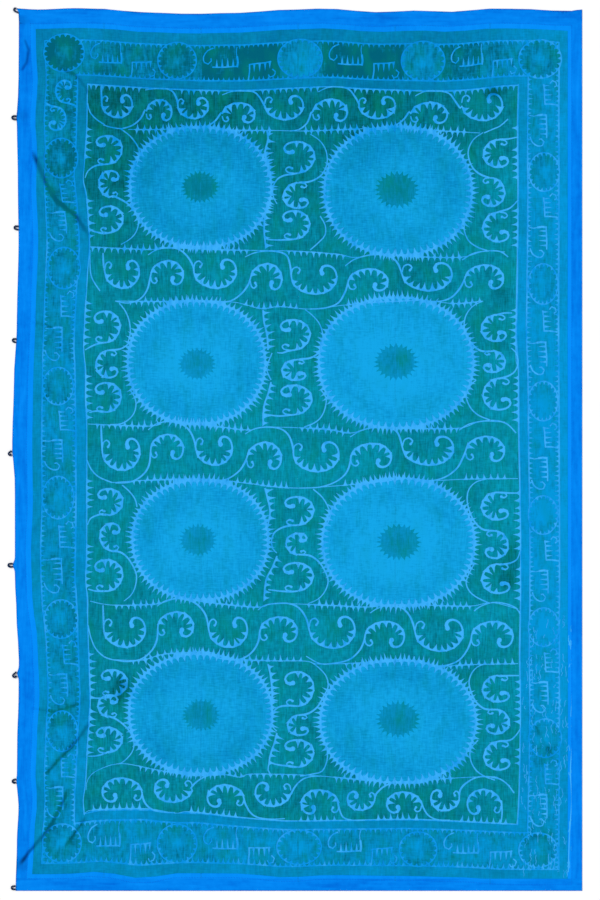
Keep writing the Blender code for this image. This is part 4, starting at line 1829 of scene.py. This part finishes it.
# How far out a soft place counts, as the square of its half sizes
PLACE_REACH = 9.0

# Places of the edging darkened with painted shade, given as for the stains
EDGING_SHADE_PLACES = (
    ((22, 20), (10, 8), 0.8),
    ((28, 60), (8, 26), 0.5),
    ((24, 116), (9, 12), 0.7),
    ((26, 175), (6, 40), 0.2),
    ((22, 455), (5, 14), 0.35),
    ((25, 740), (7, 40), 0.4),
    ((24, 866), (14, 10), 0.8),
    ((60, 885), (30, 6), 0.5),
    ((300, 888), (60, 4), 0.3),
    ((540, 886), (30, 6), 0.35),
    ((579, 300), (5, 200), 0.15),
)

# Stains and worn places: middle, half size, and depth; below 0 is paler
STAINS = (
    ((494, 92), (9, 6), 1.2),
    ((502, 300), (8, 13), 1.2),
    ((498, 345), (8, 6), 0.8),
    ((512, 556), (10, 12), 1.0),
    ((508, 578), (9, 12), 1.0),
    ((123, 684), (9, 8), 1.2),
    ((120, 697), (10, 7), 1.0),
    ((40, 32), (16, 10), 0.5),
    ((36, 868), (8, 14), 0.7),
    ((76, 874), (34, 5), 0.3),
    ((36, 160), (5, 50), 0.3),
    ((36, 560), (5, 80), 0.2),
    ((548, 752), (10, 12), 0.4),
    ((528, 836), (18, 8), 0.4),
    ((500, 872), (36, 5), 0.5),
)

# Rings in the discs: how far out, and how much darker, below 0 for paler
DISC_RINGS = ((0.0, 0.0), (0.25, -0.40), (0.45, -0.28), (0.62, 0.0), (0.80, 0.28), (0.93, 0.22), (1.0, 0.0))
ROSETTE_RINGS = ((0.0, -0.9), (0.20, -0.6), (0.42, 0.0), (0.70, 0.2), (1.0, 0.0))

# How the dye has faded, in broad places as for the stains: the upper left and
# the upper middle have kept their depth, the middle and the right border not
FADES = (
    ((130, 110), (110, 110), 0.7),
    ((370, 60), (150, 130), 0.6),
    ((250, 480), (200, 330), -0.4),
    ((560, 430), (80, 500), -0.7),
)


def stain_and_shade_at(x, y):
    """How much darker the silk is at a place on the chart, painted crease shade included."""
    total = painted_crease_shade(x, y) + soft_places((*FADES, *STAINS), x, y)
    for disc in DISCS:
        share = disc_share(disc, x, y)
        if share < 1.0:
            total += read_line(DISC_RINGS, share)
    for centre, size, _ in ROSETTES:
        share = math.hypot((x - centre[0]) / size[0], (y - centre[1]) / size[1])
        if share < 1.0:
            total += read_line(ROSETTE_RINGS, share)
    return total


class ClothSizes(bpy.types.PropertyGroup):
    ground_height: FloatProperty(
        name="Ground height",
        description="Top of the open cotton ground above the floor",
        default=1.5 * MILLIMETRE,
        unit="LENGTH",
    )
    stitch_height: FloatProperty(
        name="Stitch height",
        description="Top of the silk filling above the floor",
        default=2.0 * MILLIMETRE,
        unit="LENGTH",
    )
    edging_height: FloatProperty(
        name="Edging height",
        description="Top of the plain edging above the floor",
        default=1.5 * MILLIMETRE,
        unit="LENGTH",
    )
    pattern_seed: IntProperty(
        name="Pattern seed",
        description="Start of the small unevenness of the hand drawing",
        default=7,
    )


def colour_property(name, description, red, green, blue):
    return FloatVectorProperty(
        name=name,
        description=description,
        default=as_linear(red, green, blue),
        size=3,
        subtype="COLOR",
        min=0.0,
        max=1.0,
    )


class ThreadColours(bpy.types.PropertyGroup):
    ground_dark: colour_property("Ground, dark", "Cotton in the border", 6, 128, 204)
    ground: colour_property("Ground", "Plain cotton ground", 10, 148, 230)
    ground_light: colour_property("Ground, light", "Cotton of the drawn lines", 60, 176, 250)
    margin: colour_property("Margin", "Bare cotton beside the edging", 4, 141, 247)
    field_dark: colour_property("Field, dark", "Darkest field silk", 0, 80, 84)
    field: colour_property("Field", "Usual field silk", 3, 121, 146)
    field_light: colour_property("Field, light", "Palest field silk", 7, 154, 188)
    disc_dark: colour_property("Disc, dark", "Darkest disc silk", 4, 128, 184)
    disc: colour_property("Disc", "Usual disc silk", 11, 149, 211)
    disc_light: colour_property("Disc, light", "Palest disc silk", 19, 165, 231)
    heart_dark: colour_property("Heart, dark", "Darkest silk of the disc hearts", 0, 100, 118)
    heart: colour_property("Heart", "Usual silk of the disc hearts", 2, 122, 148)
    band_dark: colour_property("Border, dark", "Darkest border silk", 0, 96, 118)
    band: colour_property("Border", "Usual border silk", 4, 132, 184)
    band_light: colour_property("Border, light", "Palest border silk", 4, 150, 219)
    stripe_dark: colour_property("Stripe, dark", "Darkest silk of the border stripes", 2, 112, 160)
    stripe: colour_property("Stripe", "Usual silk of the border stripes", 3, 133, 189)
    edging_dark: colour_property("Edging, dark", "Shaded cotton of the edging", 0, 102, 214)
    edging: colour_property("Edging", "Usual cotton of the edging", 2, 130, 238)
    edging_light: colour_property("Edging, light", "Palest cotton of the edging", 8, 146, 253)
    cord_dark: colour_property("Cord, dark", "Dark fibres of the loops", 0, 18, 50)
    cord_light: colour_property("Cord, light", "Light fibres of the loops", 2, 56, 104)
    seam_thread: colour_property("Seam thread", "Thread of the sewn seams", 3, 122, 226)


class StageSettings(bpy.types.PropertyGroup):
    lens: FloatProperty(name="Lens", description="Focal length of the camera", default=85.0, subtype="NONE")
    floor_size: FloatProperty(name="Floor", description="Side of the floor", default=40.0, unit="LENGTH")
    light_spread: FloatProperty(name="Light spread", description="Degrees of the key light", default=14.0)
    key_strength: FloatProperty(name="Key strength", description="Strength of the key light", default=2.36)
    sky_strength: FloatProperty(name="Sky strength", description="Strength of the even light", default=0.52)


LIGHT_DIRECTION = Vector((0.80, -0.42, -0.82))
PANELS = ("panel_1", "panel_2", "panel_3", "panel_4", "panel_5", "panel_6")


class CLOTH_OT_embroidery(bpy.types.Operator):
    """Cut the six embroidered loom widths with their pattern"""

    bl_idname = "cloth.embroidery"
    bl_label = "Embroidered loom widths"

    def execute(self, context):
        sizes = context.scene.cloth_sizes
        colours = context.scene.thread_colours
        chart = Chart(sizes.pattern_seed)
        draw_border(chart)
        draw_field(chart)
        panels = [grown(node_outline(node), SEAM_CLOSE) for node in PANELS]
        low = (CAD_BOX[0].x, CAD_BOX[0].y)
        high = (CAD_BOX[1].x, CAD_BOX[1].y)
        points = lattice_points(low, high, WIDTH_CELL) + fold_points() + crease_points() + disc_points()
        places, triangles, sources = cut_shapes(panels + chart.outlines, points)
        stitches = (
            ("field", colours.field_dark, colours.field, colours.field_light, FIELD_LOOK),
            ("disc", colours.disc_dark, colours.disc, colours.disc_light, DISC_LOOK),
            ("heart", colours.heart_dark, colours.heart, colours.disc, HEART_LOOK),
            ("band", colours.band_dark, colours.band, colours.band_light, BAND_LOOK),
            ("stripe", colours.stripe_dark, colours.stripe, colours.band_light, STRIPE_LOOK),
        )
        materials = [
            cloth_finish("open_ground", colours.ground_dark, colours.ground, colours.ground_light, True),
            *(stitch_finish(f"{name}_stitch", *shades) for name, *shades in stitches),
            cloth_finish("margin_cotton", colours.edging, colours.margin, colours.edging_light, True),
        ]
        levels = [sizes.ground_height] + [sizes.stitch_height] * 5 + [sizes.ground_height]
        groups = [([], [], []) for _ in panels]
        for corners, held in zip(triangles, sources):
            owner = min(held)
            if owner >= len(panels):
                continue
            last = max(held)
            if last < len(panels):
                finish, tone = MARGIN, 0.0
            else:
                finish = chart.finishes[last - len(panels)]
                tone = chart.tones[last - len(panels)]
            kept, finishes, tones = groups[owner]
            kept.append(list(corners))
            finishes.append(finish)
            tones.append(tone)
        for node, (kept, finishes, tones) in zip(PANELS, groups):
            name = node.replace("panel", "embroidered_width")
            mesh = sheet_mesh(name, places, kept, finishes, tones, levels, materials, GROUND)
            add_vertex_tones(mesh)
            piece = place_piece(name, mesh, [node])
        return {"FINISHED"}


class CLOTH_OT_edging(bpy.types.Operator):
    """Cut the four plain edging strips"""

    bl_idname = "cloth.edging"
    bl_label = "Edging strips"

    def execute(self, context):
        sizes = context.scene.cloth_sizes
        colours = context.scene.thread_colours
        shades = (colours.edging_dark, colours.edging, colours.edging_light)
        upright = cloth_finish("edging_cotton_upright", *shades, True)
        level = cloth_finish("edging_cotton_level", *shades, False)
        for node, material in (
            ("edging_top", level),
            ("edging_bottom", level),
            ("edging_left", upright),
            ("edging_right", upright),
        ):
            outline = grown(node_outline(node), SEAM_CLOSE)
            low = [min(point[k] for point in outline) for k in range(2)]
            high = [max(point[k] for point in outline) for k in range(2)]
            points = lattice_points(low, high, STRIP_CELL) + crease_points()
            for inset in EDGE_INSETS:
                points += grown(dense(outline, STRIP_EDGE_CELL), -inset)
            places, triangles, _ = cut_shapes([outline], points)
            kept = [list(corners) for corners in triangles]
            name = node + "_cloth"
            mesh = sheet_mesh(
                name, places, kept, [0] * len(kept), [0.0] * len(kept), [sizes.edging_height], [material], 0
            )
            add_edge_tones(mesh)
            piece = place_piece(name, mesh, [node])
            width, length = flat_size(node)
            area = min(signed_area(outline), width * length)
        return {"FINISHED"}


class CLOTH_OT_seams(bpy.types.Operator):
    """Sew the loom widths together and the edging on"""

    bl_idname = "cloth.seams"
    bl_label = "Seam stitches"

    def execute(self, context):
        colours = context.scene.thread_colours
        silk = cord_finish("seam_silk", colours.field, colours.disc)
        cotton = cord_finish("seam_cotton", colours.edging_dark, colours.seam_thread)
        for name, lines, stitch, material in (
            ("loom_seam_stitches", loom_seam_lines(), LOOM_STITCH, silk),
            ("edging_seam_stitches", [edging_seam_line()], EDGING_STITCH, cotton),
        ):
            place_piece(name, seam_mesh(name, lines, stitch, material), [])
        return {"FINISHED"}


class CLOTH_OT_loops(bpy.types.Operator):
    """Twist the nine small cord loops of the left side"""

    bl_idname = "cloth.loops"
    bl_label = "Hanging loops"

    def execute(self, context):
        colours = context.scene.thread_colours
        material = cord_finish("loop_cotton", colours.cord_dark, colours.cord_light)
        for number, (down, reach, slant, _) in enumerate(LOOPS, start=1):
            mesh = twisted_mesh(f"twisted_loop_{number}", loop_route(down, reach, slant), material)
            place_piece(f"twisted_loop_{number}", mesh, [f"loop_{number}"])
        return {"FINISHED"}


class CLOTH_OT_stage(bpy.types.Operator):
    """Set the floor, the soft light and the camera straight above"""

    bl_idname = "cloth.stage"
    bl_label = "Floor, light and camera"

    def execute(self, context):
        settings = context.scene.stage_settings
        bpy.ops.object.select_all(action="DESELECT")
        bpy.ops.mesh.primitive_plane_add(size=settings.floor_size, location=(0.0, 0.0, -0.0001))
        floor = context.object
        floor.name = "studio_floor"
        finish = Finish("studio_floor")
        finish.set(Base_Color=(0.995, 0.995, 0.995, 1.0), Roughness=0.9, Specular_IOR_Level=0.0)
        floor.data.materials.append(finish.material)

        middle = Vector((*to_cloth(*CHART_MIDDLE), 0.0))
        view_length = CHART_HEIGHT * SQUARE
        sensor = 36.0
        height = view_length * settings.lens / sensor
        camera_data = bpy.data.cameras.new("camera")
        camera_data.lens = settings.lens
        camera_data.sensor_width = sensor
        camera_data.clip_start = 0.1
        camera_data.clip_end = 50.0
        camera = bpy.data.objects.new("camera", camera_data)
        camera.location = middle + Vector((0.0, 0.0, height))
        context.scene.collection.objects.link(camera)
        context.scene.camera = camera

        light_data = bpy.data.lights.new("soft_key", "SUN")
        light_data.angle = math.radians(settings.light_spread)
        light_data.energy = settings.key_strength
        light = bpy.data.objects.new("soft_key", light_data)
        light.rotation_euler = LIGHT_DIRECTION.to_track_quat("-Z", "Y").to_euler()
        context.scene.collection.objects.link(light)

        world = bpy.data.worlds.new("studio")
        world.use_nodes = True
        background = world.node_tree.nodes["Background"]
        background.inputs["Color"].default_value = (1.0, 1.0, 1.0, 1.0)
        background.inputs["Strength"].default_value = settings.sky_strength
        context.scene.world = world
        context.scene.view_settings.view_transform = "Standard"
        return {"FINISHED"}


class CLOTH_PT_pieces(bpy.types.Panel):
    bl_label = "Embroidered cloth"
    bl_idname = "CLOTH_PT_pieces"
    bl_space_type = "VIEW_3D"
    bl_region_type = "UI"
    bl_category = "Cloth"

    def draw(self, context):
        for operator in OPERATORS:
            self.layout.operator(operator.bl_idname)
        for group in (context.scene.cloth_sizes, context.scene.thread_colours, context.scene.stage_settings):
            for name in group.__annotations__:
                self.layout.prop(group, name)


OPERATORS = (CLOTH_OT_embroidery, CLOTH_OT_edging, CLOTH_OT_seams, CLOTH_OT_loops, CLOTH_OT_stage)
GROUPS = (ClothSizes, ThreadColours, StageSettings)


def register():
    for kind in GROUPS + OPERATORS + (CLOTH_PT_pieces,):
        bpy.utils.register_class(kind)
    bpy.types.Scene.cloth_sizes = PointerProperty(type=ClothSizes)
    bpy.types.Scene.thread_colours = PointerProperty(type=ThreadColours)
    bpy.types.Scene.stage_settings = PointerProperty(type=StageSettings)


def unregister():
    del bpy.types.Scene.stage_settings
    del bpy.types.Scene.thread_colours
    del bpy.types.Scene.cloth_sizes
    for kind in reversed(GROUPS + OPERATORS + (CLOTH_PT_pieces,)):
        bpy.utils.unregister_class(kind)


def main():
    register()
    bpy.ops.cloth.stage()
    bpy.ops.cloth.embroidery()
    bpy.ops.cloth.edging()
    bpy.ops.cloth.seams()
    bpy.ops.cloth.loops()


if __name__ == "__main__":
    main()
